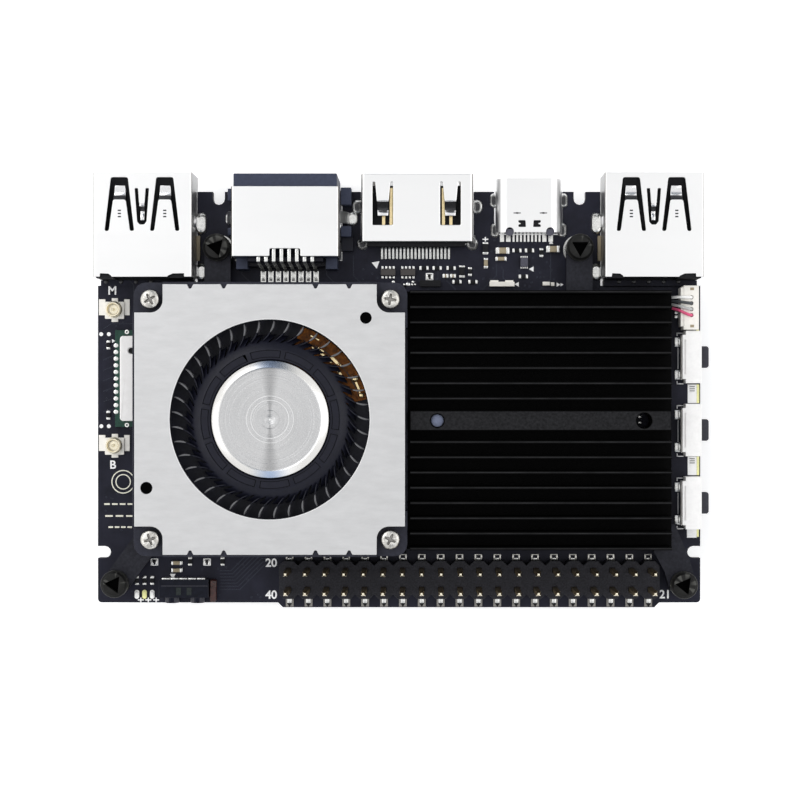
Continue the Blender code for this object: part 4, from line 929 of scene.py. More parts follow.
def usb_inside(name, x):
    """A USB socket's insulator and contacts, and the strip of board behind it."""
    lo, hi = place(f"{name}_insulator")
    block = cad_copy(f"{name}_insulator")
    # The insulator is carried forward to the shell's mouth as a black floor, standing in for the
    # shade inside the shell.
    add(block, [rectangle(x - 5.8, 1.72, x + 5.8, 3.48)], 27.0, 28.85, "Y")
    cut(block, [rectangle(x - 8, 14.0, x + 8, 15.05)], -9, 9)
    cut(block, [rectangle(x - 4.0, 14.0, x + 3.2, 15.3)], 0.1, 9)
    slabs(f"{name}_board_strip", MASK, [(rectangle(lo.x - 0.1, lo.y - 0.35, hi.x + 0.1, 15.02),
                                         place("pcb")[0].z + 0.01, 0.0)])
    piece(f"{name}_insulator_block", block, BLACK, nodes=[f"{name}_insulator"], bevel=0.08)
    bm = bmesh.new()
    contact_row(bm, [x - 3.3 + 2.2 * i for i in range(4)],
                [(19.8, 1.6), (22.5, 1.58), (24.6, 1.2), (25.8, 1.0), (26.8, 1.5)], 0.95, 0.14)
    for i in range(5):
        extrude(bm, centred(x - 2.6 + 1.3 * i, 27.4, 0.6, 1.2), 1.64, 1.7)
    piece(f"{name}_contact_springs", bm, GOLD, nodes=[f"{name}_contacts"], bevel=0.03)


def usb_joints(name, x, inner):
    """The solder, the legs and the small strip at a USB socket's inner side."""
    half = USB_HALF
    bm = bmesh.new()
    edge = x + inner * (half + 0.72)
    craters(bm, ((edge, 22.68, 1.45, 3.0), (edge, 16.15, 1.45, 2.4)), 0.5)
    piece(f"{name}_solder", bm, TIN)
    bm = bmesh.new()
    for i in range(5 if inner < 0 else 4):
        cx = x - 5.6 + 2.02 * i if inner > 0 else x - 4.2 + 2.0 * i
        mound(bm, circle(cx, 14.84, 0.3, 12), 0.0, 0.16)
    piece(f"{name}_rear_joints", bm, SHADED_STEEL)
    slabs(f"{name}_side_strip", CERAMIC,
          [(centred(x + inner * (half + 0.3), 19.3, 0.5, 3.4), -0.6, 0.5)], bevel=0.08)
    bm = bmesh.new()
    legs(bm, [(inner, x + inner * half)], ((-0.02, 2.6), (0.28, 2.2), (0.3, 0.1), (0.02, 0.1)),
         (22.7, 16.2), 0.7)
    piece(f"{name}_legs", bm, STEEL, bevel=0.04)


def usb(name, outer_side):
    x = middle_of(f"{name}_insulator")[0]
    usb_shell(name, x, outer_side)
    usb_springs(name, x)
    usb_inside(name, x)
    usb_joints(name, x, -outer_side)


def ethernet():
    """The network socket: bright shield, blue-grey body, spring contacts and board pins."""
    lo, hi = place("ethernet_shield")
    x0, x1, rear, front, bottom, top = -22.45, -8.25, 17.8, 27.0, lo.z, hi.z
    wall = 0.25
    shield = tube(rounded(x0, bottom, x1, top, 0.3, 4),
                  rounded(x0 + wall, bottom + wall, x1 - wall, top - wall, 0.1, 3), rear, front)
    cut(shield, [softened([(-17.4, rear - 1), (-13.35, rear - 1), (-13.35, rear + 1.0),
                           (-17.4, rear + 1.0)], 0.25)], top - 1, top + 1)
    for side in (x0, x1):
        cut(shield, [rounded(20.0, 0.8, 23.8, 3.4, 0.4)], side - 1, side + 1, "X")
    steel_shell("ethernet_shield", shield, 0.1)
    housing = cad_copy("ethernet_body")
    cut(housing, [rectangle(-17.45, 17.0, -13.3, 19.4), rectangle(-19.6, 17.0, -11.1, 17.75)],
        0.4, 9)
    piece("ethernet_housing", housing, BLUE_GREY, nodes=["ethernet_body"], bevel=0.12)
    bm = bmesh.new()
    for x, y, width, depth, height in ((x1 + 0.75, 26.1, 1.4, 2.3, 2.6),
                                       (x1 + 0.75, 21.4, 1.4, 1.4, 2.6),
                                       (x0 - 0.42, 26.3, 0.8, 1.6, 2.6),
                                       (x0 - 0.42, 21.35, 0.8, 1.0, 2.6)):
        extrude(bm, centred(x, y, width, depth), 0.03, height)
    for x in (-21.3, -9.4):
        extrude(bm, centred(x, 17.05, 1.55, 1.5), 0.03, 3.4)
    piece("ethernet_lugs", bm, BLUE_GREY, bevel=0.1)
    bm = bmesh.new()
    extrude(bm, centred(x1 + 0.85, 19.8, 1.6, 1.9), 0.03, 1.3)
    extrude(bm, rectangle(-20.8, 16.72, -9.9, 17.75), 0.05, 2.4)
    extrude(bm, rectangle(-20.4, 17.2, -10.4, 17.75), 2.0, 5.2)
    piece("ethernet_inner_moulding", bm, FAN_BLACK, bevel=0.08)

    bm = bmesh.new()
    for i in range(8):
        cx = -18.89 + 1.014 * i
        start = 19.0 if i in (2, 3, 4, 5) else 17.75
        path = [(cx, start, 6.1), (cx, 17.15, 6.1), (cx + 0.02, 16.98, 5.9),
                (cx + 0.08, 16.75, 3.2), (cx + 0.15, 16.5, 0.7), (cx + 0.17, 16.2, 0.2),
                (cx + 0.17, 15.6, 0.14), (cx + 0.17, 14.95, 0.12)]
        sweep(bm, path, centred(0, 0, 0.44, 0.16))
    piece("ethernet_pins", bm, TIN, nodes=["ethernet_contacts"], bevel=0.03)
    bm = bmesh.new()
    for i in range(8):
        extrude(bm, centred(-18.72 + 1.014 * i, 15.5, 0.7, 1.5), 0.0, 0.05)
    craters(bm, ((x1 + 1.55, 23.3, 1.5, 2.0), (x0 - 0.75, 23.3, 1.3, 1.9)), 0.3)
    piece("ethernet_solder", bm, TIN)
    bm = bmesh.new()
    legs(bm, ((1, x1), (-1, x0)), ((-0.02, 3.2), (0.9, 1.6), (1.15, 0.2), (0.9, 0.2),
                                   (0.65, 1.4), (-0.02, 2.8)), (23.3,), 0.8)
    piece("ethernet_shield_tabs", bm, STEEL, bevel=0.04)
    bm = bmesh.new()
    contact_row(bm, [-18.9 + 1.016 * i for i in range(8)],
                [(27.6, 4.35), (25.5, 4.2), (22.0, 2.9), (20.0, 1.9)], 0.36, 0.2)
    piece("ethernet_spring_wires", bm, GOLD, bevel=0.03)


def hdmi():
    """The display socket: shell with two spring windows, tongue and nineteen board pins."""
    x0, x1, rear, front = -5.45, 9.45, 20.0, 29.0
    bottom, top = place("hdmi_shell")[0].z, place("hdmi_shell")[1].z

    def profile(inset):
        left, right = x0 + inset, x1 - inset
        z0, z1 = bottom + inset, top - inset
        corners = [(left, z1), (left, z0 + 2.0), (left + 0.9, z0 + 1.2), (left + 1.3, z0),
                   (right - 1.3, z0), (right - 0.9, z0 + 1.2), (right, z0 + 2.0), (right, z1)]
        return softened(corners, 0.4)

    shell = tube(profile(0), profile(0.3), rear, front)
    windows = [softened([(x - 1.36, 27.9), (x - 1.02, 27.9), (x - 0.8, 25.4),
                         (x + 0.8, 25.4), (x + 1.02, 27.9), (x + 1.36, 27.9),
                         (x + 1.36, 22.2), (x - 1.36, 22.2)], 0.14) for x in (-2.58, 6.42)]
    cut(shell, windows, top - 1, top + 1)
    steel_shell("hdmi_shell", shell, 0.11)
    bm = bmesh.new()
    for x in (-2.58, 6.42):
        strap(bm, x, [(25.5, 0.78, top - 0.02), (25.3, 0.77, top - 0.1)], 0.18)
        strap(bm, x, [(24.3, 0.74, top - 1.2), (24.1, 0.74, top - 1.1),
                      (23.9, 0.72, top - 0.95), (23.5, 0.7, top - 0.95)], 0.18)
    bends = bmesh.new()
    for x in (-2.58, 6.42):
        strap(bends, x, [(25.3, 0.77, top - 0.1), (25.1, 0.76, top - 0.5),
                         (24.6, 0.75, top - 1.1), (24.28, 0.74, top - 1.2)], 0.18)
    piece("hdmi_spring_bends", bends, SHADED_STEEL, bevel=0.04)
    piece("hdmi_springs", bm, SPRING, bevel=0.04)
    as_cad("hdmi_insulator_block", "hdmi_insulator", BLACK, bevel=0.06)
    bm = bmesh.new()
    for i in range(10):
        extrude(bm, centred(-2.5 + i, 24.6, 0.42, 5.4), 1.4, 1.47)
    for i in range(9):
        extrude(bm, centred(-2.0 + i, 24.6, 0.42, 5.4), 0.03, 0.1)
    piece("hdmi_tongue_contacts", bm, GOLD, bevel=0.02)
    bm = bmesh.new()
    pins = [1.76 + 0.5 * (i - 9) for i in range(19)]
    contact_row(bm, pins, [(20.3, 0.9), (19.9, 0.75), (19.5, 0.3), (19.1, 0.14), (18.05, 0.12)],
                0.23, 0.15)
    piece("hdmi_pins", bm, TIN, nodes=["hdmi_contacts"], bevel=0.02)
    bm = bmesh.new()
    for x in pins:
        mound(bm, stadium(x, 18.35, 0.3, 1.1, 4), 0.0, 0.1)
    joints = ((-6.0, 24.9, 1.6, 1.95), (-5.4, 19.9, 1.6, 1.8), (10.0, 24.9, 1.6, 1.95),
              (9.4, 19.9, 1.6, 1.8))
    craters(bm, joints, 0.3)
    piece("hdmi_solder", bm, TIN)
    bm = bmesh.new()
    crater_middles(bm, joints)
    piece("hdmi_solder_middles", bm, SHADED_STEEL)
    bm = bmesh.new()
    extrude(bm, rectangle(-4.7, 19.4, 8.4, 20.2), 0.9, 2.3)
    extrude(bm, rectangle(-4.2, 19.5, -3.1, 20.1), 0.1, 1.0)
    extrude(bm, rectangle(6.6, 19.5, 7.8, 20.1), 0.1, 1.0)
    piece("hdmi_rear_moulding", bm, BLACK, bevel=0.06)
    bm = bmesh.new()
    legs(bm, ((1, x1), (-1, x0)), ((-0.02, 1.6), (0.35, 1.1), (0.4, 0.0), (0.1, 0.0),
                                   (-0.02, 1.0)), (24.9, 20.5), 0.5)
    piece("hdmi_legs", bm, STEEL, bevel=0.04)


def usb_c():
    """The small oval socket: drawn shell, tongue with gold strips, and board pads."""
    lo, hi = place("usb_c_shell")
    x0, x1, rear, front, bottom, top = lo.x, hi.x, 21.3, hi.y, lo.z, hi.z
    radius = (top - bottom) / 2 - 0.03
    shell = tube(rounded(x0, bottom, x1, top, radius, 12),
                 rounded(x0 + 0.25, bottom + 0.25, x1 - 0.25, top - 0.25, radius - 0.25, 12),
                 rear, front, -0.3)
    bites = [softened([(x + side * 0.5, 22.9), (x - side * 0.45, 22.9), (x - side * 0.52, 22.0),
                       (x + side * 0.5, 22.0), (x + side * 0.5, 22.3), (x + side * 0.1, 22.45),
                       (x + side * 0.5, 22.62)], 0.14) for x, side in ((15.99, -1), (17.98, 1))]
    bites += [circle(x, rear + 0.1, 0.55, 24) for x in (14.35, 19.75)]
    cut(shell, bites, top - 0.8, top + 1)
    piece("usb_c_shell_steel", shell, STEEL, nodes=["usb_c_shell"], bevel=0.08)
    as_cad("usb_c_tongue_block", "usb_c_tongue", BLACK, bevel=0.05)
    mid, level = (x0 + x1) / 2, (top + bottom) / 2
    slabs("usb_c_contacts", GOLD, [(centred(mid - 2.75 + 0.5 * i, 26.3, 0.26, 2.8), z, z + 0.05)
                                   for i in range(12) for z in (level + 0.35, level - 0.4)],
          bevel=0.01)
    bm = bmesh.new()
    for x in (14.35, 19.75):
        washer(bm, x, rear + 0.15, 0, 0.6, top - 0.55, top - 0.3)
    piece("usb_c_inner_moulding", bm, GREY_RESIN, bevel=0.03)
    bm = bmesh.new()
    for x, width in ((13.4, 0.55), (14.25, 0.6), (14.95, 0.26), (15.45, 0.26), (15.95, 0.26),
                     (16.45, 0.26), (16.95, 0.26), (17.45, 0.26), (17.95, 0.26), (18.45, 0.26),
                     (19.1, 0.55), (19.95, 0.6)):
        extrude(bm, centred(x, 20.75, width, 1.1), 0.0, 0.14)
        extrude(bm, centred(x, 21.1, width * 0.8, 0.5), 0.1, 0.3)
    joints = ((12.3, 25.75, 1.1, 2.0), (12.45, 21.75, 1.2, 2.0), (21.7, 25.75, 1.1, 2.0),
              (21.5, 21.75, 1.2, 2.0))
    craters(bm, joints, 0.28)
    piece("usb_c_solder", bm, TIN)
    bm = bmesh.new()
    crater_middles(bm, joints)
    for x, width, y in ((15.32, 1.0, 23.86), (18.83, 1.0, 23.86)):
        extrude(bm, stadium(x, y, width, 0.13, 4), top - 0.05, top + 0.006)
        extrude(bm, stadium(x, y, width * 0.4, 0.22, 4), top - 0.05, top + 0.008)
    piece("usb_c_dark_marks", bm, SHADED_STEEL)


usb("usb_left", -1)
usb("usb_right", 1)
ethernet()
hdmi()
usb_c()


# ---------------------------------------------------------------- pin header


def header():
    """The header's moulded cells, square gold pins with tapered ends, and solder below."""
    as_cad("header_moulding", "header_base", HEADER_BLACK, bevel=0.12, segments=3)
    lo, hi = place("header_pins")
    half = 0.32
    first = lo.x + half
    pitch = (hi.x - lo.x - 2 * half) / 19
    base_lo, base_hi = place("header_base")
    middle = middle_of("header_base")[1]
    rows = (middle - pitch / 2, middle + pitch / 2)
    pins, collars = bmesh.new(), bmesh.new()
    for i in range(20):
        for y in rows:
            x = first + pitch * i
            levels = ((half, lo.z), (half, hi.z - 0.75), (0.13, hi.z))
            rings = [[pins.verts.new((px, py, z)) for px, py in centred(x, y, 2 * r, 2 * r)]
                     for r, z in levels]
            skin(pins, rings)
            extrude(collars, centred(x, y, 1.0, 1.0), base_hi.z - 0.3, base_hi.z + 0.02)
    made = piece("header_gold_pins", pins, PALE_GOLD, nodes=["header_pins"], bevel=0.04)
    # The pins' sides get painted shade, as if they mirrored the dark moulding.
    shade_sides(made, PIN_SIDE_SHADE, (0, 1))
    collar = to_mesh("collars", collars)
    cut(collar, [centred(first + pitch * i, y, 0.72, 0.72) for i in range(20) for y in rows],
        0, 9)
    piece("header_collars", collar, HEADER_BLACK, bevel=0.05)
    pads, feet, front_pads = bmesh.new(), bmesh.new(), bmesh.new()
    front, rear = base_lo.y, base_hi.y
    for i in range(20):
        x = first + pitch * i
        extrude(front_pads, centred(x, front - 0.62, 1.05, 1.3), 0.0, 0.05)
        extrude(feet, centred(x, front - 0.36, 0.56, 0.97), 0.03, 0.5)
        for side in (-1, 1):
            extrude(pads, centred(x + side * 0.4, rear + 0.28, 0.2, 0.9), 0.0, 0.07)
        extrude(pads, centred(x, rear + 0.66, 0.7, 0.12), 0.0, 0.06)
        extrude(feet, centred(x, rear + 0.1, 0.5, 0.3), 0.03, 0.3)
    piece("header_pads", pads, NICKEL, bevel=0.02)
    piece("header_front_pads", front_pads, STEEL_RIM, bevel=0.02)
    piece("header_feet", feet, TIN, bevel=0.05)
    slabs("header_pad_openings", RESIN, [(circle(first + pitch * i, front - 0.92, 0.38, 3, 270),
                                          0.04, 0.52) for i in range(20)])


header()


# ---------------------------------------------------------------- heatsink


ARM_LEVEL = 2.9  # the flat top of the heatsink's arms


def heatsink():
    """The black heatsink with rounded fin tops, painted light on its arms and painted highlights
    along its fins and rib, and the pad and chips beneath it.
    """
    sink = as_cad("heatsink_black", "heatsink", ANODISED, bevel=0.05)
    sink.data.materials.append(ARM_TOP_LIGHT)
    arm_level = (ARM_LEVEL + TOP) * MM
    # The flat upward faces at the arms' level take the painted light.
    for face in sink.data.polygons:
        level = face.normal.z > 0.5 and abs(face.center.z - arm_level) < 0.06 * MM
        face.material_index = int(level)
    top = place("heatsink")[1].z
    # Thin strips along the fin tops carry a painted highlight.
    slabs("heatsink_fin_tops", FIN_TOP_HIGHLIGHT, [(centred(18.27, y, 34.3, 0.15), top - 0.02, top + 0.02)
                                         for i in range(8)
                                         for y in (13.1 - 2.0 * i, -20.6 + 2.0 * i)])
    slabs("heatsink_plate_lip", ANODISED, [(rectangle(35.3, -20.9, 35.85, 13.35), 2.05, 2.98)],
          bevel=0.05)
    # A thin lighter skin on the rib's top is painted light.
    rib = prisms([rectangle(1.15, -5.0, 35.38, -2.6)], 6.19, 6.22)
    cut(rib, [circle(4.66, -3.8, 0.98, 32), circle(31.85, -3.8, 1.1, 32)], 0, 9)
    piece("heatsink_rib_top", rib, RIB_TOP_LIGHT)
    as_cad("thermal_pad_grey", "thermal_pad", PAD, bevel=0.1)
    bm = bmesh.new()
    turn(bm, [(0, 1.2), (0.82, 1.2), (0.82, 5.7), (0.7, 5.78), (0, 5.8)], 4.66, -3.8, 40)
    piece("thermal_pad_plug", bm, PAD)
    for node in ("soc", "memory_chip", "storage_chip"):
        as_cad(f"{node}_package", node, RESIN, bevel=0.06)
    slabs("parts_under_rib_hole", TIN, [(centred(31.95, y, 0.5, 0.32), 0.0, 0.3)
                                        for y in (-4.15, -3.35)], bevel=0.03)


CROSS_ARM = ((-0.78, -0.13), (-0.24, -0.2), (0.24, -0.2), (0.78, -0.13),
             (0.78, 0.13), (0.24, 0.2), (-0.24, 0.2), (-0.78, 0.13))


def bolt(number):
    """A black bolt with a triangular socket, and the standoff below it."""
    lo, hi = place(f"mount_bolt_{number}")
    x, y = middle_of(f"mount_bolt_{number}")
    top = hi.z
    start = (168, 270, 175, 172)[number - 1]
    radius = (hi.x - lo.x) / 2
    bm = bmesh.new()
    turn(bm, [(0, lo.z), (0.8, lo.z), (0.95, lo.z + 0.15), (0.95, top - 1.6),
              (radius - 0.05, top - 1.6), (radius, top - 1.55), (radius, top - 0.34),
              (radius - 0.06, top - 0.22), (radius - 0.32, top - 0.1),
              (radius - 0.36, top), (0, top)], x, y, 64)
    bolt = to_mesh("bolt", bm)
    cut(bolt, [softened(circle(x, y, 1.3, 3, start), 0.08)], top - 1.1, top + 1)
    # A black floor in the socket stands in for its shade.
    slabs(f"bolt_socket_floor_{number}", SHADE_BLACK,
          [(softened(circle(x, y, 1.2, 3, start), 0.08), top - 1.15, top - 0.9)])
    piece(f"bolt_{number}", bolt, BOLT_BLACK, nodes=[f"mount_bolt_{number}"], bevel=0.05,
          angle=50)
    as_cad(f"standoff_post_{number}", f"standoff_{number}", NICKEL, bevel=0.12, segments=3)


def fan_screw(number):
    """A cross-head screw through the fan's cover."""
    lo, hi = place(f"fan_screw_{number}")
    x, y = middle_of(f"fan_screw_{number}")
    top = hi.z
    radius = (hi.x - lo.x) / 2
    bm = bmesh.new()
    turn(bm, [(0, lo.z), (0.7, lo.z), (0.75, lo.z + 0.1), (0.75, top - 0.9),
              (radius, top - 0.9), (radius, top - 0.3), (radius - 0.05, top - 0.16),
              (radius - 0.2, top - 0.05), (0.7, top), (0, top)], x, y, 48)
    screw = to_mesh("screw", bm)
    spin = (20, 65, 30, 80)[number - 1]
    bottoms = bmesh.new()
    for extra in (0, 90):
        a = math.radians(spin + extra)
        ux, uy = math.cos(a), math.sin(a)
        blade = [(x + ux * p - uy * q, y + uy * p + ux * q) for p, q in CROSS_ARM]
        cut(screw, [blade], top - 0.55, top + 1)
        mound(bottoms, blade, top - 0.6, 0.24 + 0.01 * (extra > 0), 2, 0.3)
    # The recess bottoms are dark grey steel: painted shade in the cross.
    piece(f"cross_screw_bottom_{number}", bottoms, STEEL_RIM)
    piece(f"cross_screw_{number}", screw, NICKEL, nodes=[f"fan_screw_{number}"], bevel=0.03,
          angle=45)


heatsink()
for number in range(1, 5):
    bolt(number)
    fan_screw(number)


# ---------------------------------------------------------------- fan


def on_circle(x, y, spin, radius, across, along):
    """A small rectangle standing on a circle about the fan's axis, turned to follow it."""
    cos, sin = math.cos(math.radians(spin)), math.sin(math.radians(spin))
    return [(x + radius * cos + cos * a - sin * b, y + radius * sin + sin * a + cos * b)
            for a, b in centred(0, 0, across, along)]


def fan_cover(x, y):
    """The silver cover, with bitten corners, notched edges, a wide mouth and two holes."""
    lo, hi = place("fan_cover")
    half, bite, radius = (hi.x - lo.x) / 2, 3.7, 1.6
    mid_x, mid_y = middle_of("fan_cover")
    points = []
    for quarter in range(4):
        inner = half - bite
        corner = [(half, inner), *arc(inner + radius, inner + radius, radius, 270, 180, 10),
                  (inner, half)]
        if quarter % 2 == 0:
            for place_x in (10.4, 6.0, -6.0, -10.4):
                corner += [(place_x + 0.42, half), (place_x + 0.28, half - 0.28),
                           *arc(place_x, half - 0.34, 0.24, 0, -180, 6),
                           (place_x - 0.28, half - 0.28), (place_x - 0.42, half)]
        angle = math.radians(90 * quarter)
        cos, sin = math.cos(angle), math.sin(angle)
        points += [(mid_x + px * cos - py * sin, mid_y + px * sin + py * cos)
                   for px, py in corner]
    cover = prisms([points], lo.z, hi.z)
    holes = ((-4.7, 9.65, 0.76), (-33.4, -12.6, 0.79))
    cut(cover, [circle(x, y, 13.07, 128)] + [circle(*hole, 32) for hole in holes], lo.z - 1,
        hi.z + 1)
    piece("fan_cover_plate", cover, COVER, nodes=["fan_cover"], bevel=0.06, segments=3)
    # A bright steel ring round the mouth: a painted highlight on the cover's cut edge.
    bm = bmesh.new()
    turn(bm, [(13.08, lo.z + 0.1), (13.19, lo.z + 0.1), (13.19, hi.z + 0.006),
              (13.14, hi.z + 0.006), (13.08, hi.z - 0.06)], x, y, 128)
    piece("fan_cover_edge_highlight", bm, STEEL)
    # Black floors in the cover's holes stand in for shade.
    slabs("fan_cover_hole_floors", SHADE_BLACK, [(circle(hole_x, hole_y, radius - 0.02, 32),
                                                 lo.z + 0.01, lo.z + 0.05)
                                                for hole_x, hole_y, radius in holes])


def fan_film(x, y):
    """The driver film seen past the blades, with its pads, tracks and parts."""
    as_cad("fan_driver_film", "fan_circuit_board", FLEX)
    top = place("fan_circuit_board")[1].z
    bm = bmesh.new()
    rng = random.Random(5)
    for i in range(10):
        spin, radius = 17 + 5.0 * i, rng.choice((10.9, 11.5, 12.2))
        length, width = rng.uniform(0.5, 1.7), rng.uniform(0.12, 0.3)
        extrude(bm, on_circle(x, y, spin, radius, width, length), top, top + 0.04)
    piece("fan_film_pads", bm, GOLD)
    bm = bmesh.new()
    for i in range(7):
        outline = on_circle(x, y, 20 + 7.0 * i, 11.9 - 0.12 * i, 0.1, 2.1)
        extrude(bm, outline, top, top + 0.05)
    piece("fan_film_tracks", bm, TAUPE)
    bm = bmesh.new()
    for spin, radius, size in ((26, 12.3, 0.5), (15, 12.35, 0.42), (38, 11.6, 0.2)):
        px = x + radius * math.cos(math.radians(spin))
        py = y + radius * math.sin(math.radians(spin))
        mound(bm, circle(px, py, size, 20), top, 0.5)
    for spin, radius, length in ((43.5, 11.4, 1.2), (54.7, 11.2, 0.9)):
        extrude(bm, on_circle(x, y, spin, radius, 0.34, length), top, top + 0.06)
    piece("fan_film_parts", bm, GOLD)


def fan_core(x, y):
    """The wound core and the bearing sleeve."""
    as_cad("fan_core", "fan_stator", FERRITE, bevel=0.05)
    lo, hi = place("fan_stator")
    bm = bmesh.new()
    for i in range(9):
        angle = math.radians(40 * i)
        px, py = x + 3.7 * math.cos(angle), y + 3.7 * math.sin(angle)
        coil = [(px + math.cos(angle) * a - math.sin(angle) * b,
                 py + math.sin(angle) * a + math.cos(angle) * b)
                for a, b in rounded(-0.5, -0.75, 0.5, 0.75, 0.2, 3)]
        extrude(bm, coil, lo.z - 0.12, hi.z + 0.12)
    piece("fan_coils", bm, COIL, bevel=0.08)
    as_cad("fan_bearing_sleeve", "fan_bearing", GOLD)


def fan_fixed():
    """The tray, cover, driver film and wound core."""
    x, y = middle_of("fan_hub_cup")
    as_cad("fan_tray", "fan_housing", FAN_TRAY, bevel=0.1, segments=3)
    fan_cover(x, y)
    fan_film(x, y)
    fan_core(x, y)


BLADES = 41
DISH_EDGE = 9.9  # the radius where a blade leaves the ring's dish
BLADE_TIP = 12.95


def swept(radius, start):
    """The angle of a blade's middle line: steep by the dish, radial at the tip."""
    t = (radius - DISH_EDGE) / (BLADE_TIP - DISH_EDGE)
    return math.radians(start + 11.0 * (1 - t) ** 2.2)


def blade_outline(x, y, start, root, tip, thick, count=8):
    left, right = [], []
    for step in range(count + 1):
        t = step / count
        radius = root + (tip - root) * t
        angle = swept(radius, start)
        ux, uy = math.cos(angle), math.sin(angle)
        half = thick * (0.45 + 0.55 * math.sin(math.pi * min(t * 1.1, 1.0)) ** 0.6) / 2
        left.append((x + radius * ux - uy * half, y + radius * uy + ux * half))
        right.append((x + radius * ux + uy * half, y + radius * uy - ux * half))
    return left + right[::-1]


def ring_bar(x, y, middle, inner, outer, spread):
    near = arc(x, y, outer, middle - spread, middle + spread, 10)
    return near + arc(x, y, inner, middle + spread, middle - spread, 10)


def fan_ring(x, y):
    """The dished ring with its bars, and the blades round it."""
    lo, hi = place("fan_blades")
    top = hi.z - 0.06
    bm = bmesh.new()
    turn(bm, [(7.85, lo.z), (9.3, lo.z), (11.1, lo.z + 0.1), (11.2, lo.z + 0.4),
              (11.0, lo.z + 0.8), (10.5, hi.z - 0.8), (9.9, hi.z - 0.32), (9.35, top - 0.08),
              (9.2, top), (7.95, top), (7.85, top - 0.1)], x, y, 120)
    ring = to_mesh("ring", bm)
    starts = [360 * i / BLADES for i in range(BLADES)]
    cut(ring, [ring_bar(x, y, 30 * i + 4, 8.12, 9.12, 13) for i in range(12)], top - 0.3,
        top + 1)
    cut(ring, [blade_outline(x, y, start + 3.0, 10.15, 11.5, 0.5, 4) for start in starts],
        lo.z - 0.2, hi.z + 1)
    piece("fan_ring", ring, FAN_BLACK, "fan_rotor", ["fan_blades"], bevel=0.03, angle=30)
    slabs("fan_ring_bars", FAN_BLACK, [(ring_bar(x, y, 30 * i + 4, 8.2, 9.04, 12.4), top - 0.35,
                                        top - 0.02) for i in range(12)], "fan_rotor", bevel=0.03)
    # The outer blades are drawn lighter than the ring: a painted highlight.
    slabs("fan_blade_row", BLADE_HIGHLIGHT, [(blade_outline(x, y, start, 11.5, BLADE_TIP, 0.24), lo.z + 0.05,
                                    hi.z - 0.05) for start in starts], "fan_rotor", bevel=0.03)
    bm = bmesh.new()
    for start in starts:
        extrude(bm, blade_outline(x, y, start, 10.4, 11.52, 0.2), lo.z + 0.05, hi.z - 0.35)
    piece("fan_blade_roots", bm, FAN_BLACK, "fan_rotor", bevel=0.03)


def fan_hub(x, y):
    """The bright hub with its turned rings and its chamfer."""
    lo, hi = place("fan_hub_cup")
    radius = (hi.x - lo.x) / 2
    top, inner = hi.z, radius - 0.45
    bm = bmesh.new()
    profile = [(0, top - 0.10), (0.35, top - 0.10), (0.45, top - 0.06)]
    profile += [(1.15, top - 0.06), (1.2, top - 0.10), (1.25, top - 0.06)]
    profile += [(radius - 1.15, top - 0.06), (radius - 1.0, top - 0.02), (radius - 0.92, top),
                (radius - 0.85, top), (radius - 0.1, top - 0.4), (radius, top - 0.55),
                (radius, lo.z), (inner, lo.z), (inner, top - 0.55), (0, top - 0.5)]
    turn(bm, profile, x, y, 128)
    # The hub's colour is a painted bow-tie: lighter left and right of the axis, darker above and
    # below it.
    face = turned_metal("turned_hub_painted_sheen", (x, y), (0.40, 0.40, 0.405), (0.60, 0.60, 0.605), 0.26,
                        0.16, 0.05)
    piece("fan_hub", bm, face, "fan_rotor", ["fan_hub_cup"], angle=25)
    bm = bmesh.new()
    for r in (2.5, 3.08):
        turn(bm, [(r - 0.05, top - 0.08), (r + 0.05, top - 0.08), (r + 0.03, top - 0.05),
                  (r - 0.03, top - 0.05)], x, y, 96)
    turn(bm, [(0, top - 0.12), (0.16, top - 0.12), (0.12, top - 0.08), (0, top - 0.07)], x, y, 24)
    piece("fan_hub_rings", bm, STEEL, "fan_rotor")
    bm = bmesh.new()
    turn(bm, [(radius - 0.88, top - 0.2), (radius - 0.04, top - 0.55),
              (radius - 0.02, top - 0.36), (radius - 0.1, top - 0.3),
              (radius - 0.84, top + 0.03), (radius - 0.92, top + 0.01)], x, y, 128)
    # The chamfer's colour is a painted reflection: near white left and right, blue-grey patches
    # above and below.
    chamfer = turned_metal("turned_rim", (x, y), (0.36, 0.43, 0.56), (0.80, 0.79, 0.77), 0.42,
                           0.3, 0.005)
    piece("fan_hub_chamfer", bm, chamfer, "fan_rotor", angle=30)


def fan_rotor():
    """The turning pieces: dished ring with bars, blades, bright hub, magnet and shaft."""
    x, y = middle_of("fan_hub_cup")
    fan_ring(x, y)
    fan_hub(x, y)
    as_cad("fan_magnet_ring", "fan_magnet", FERRITE, "fan_rotor")
    as_cad("fan_shaft_rod", "fan_shaft", STEEL, "fan_rotor")


fan_fixed()
fan_rotor()


# ---------------------------------------------------------------- right edge and front edge


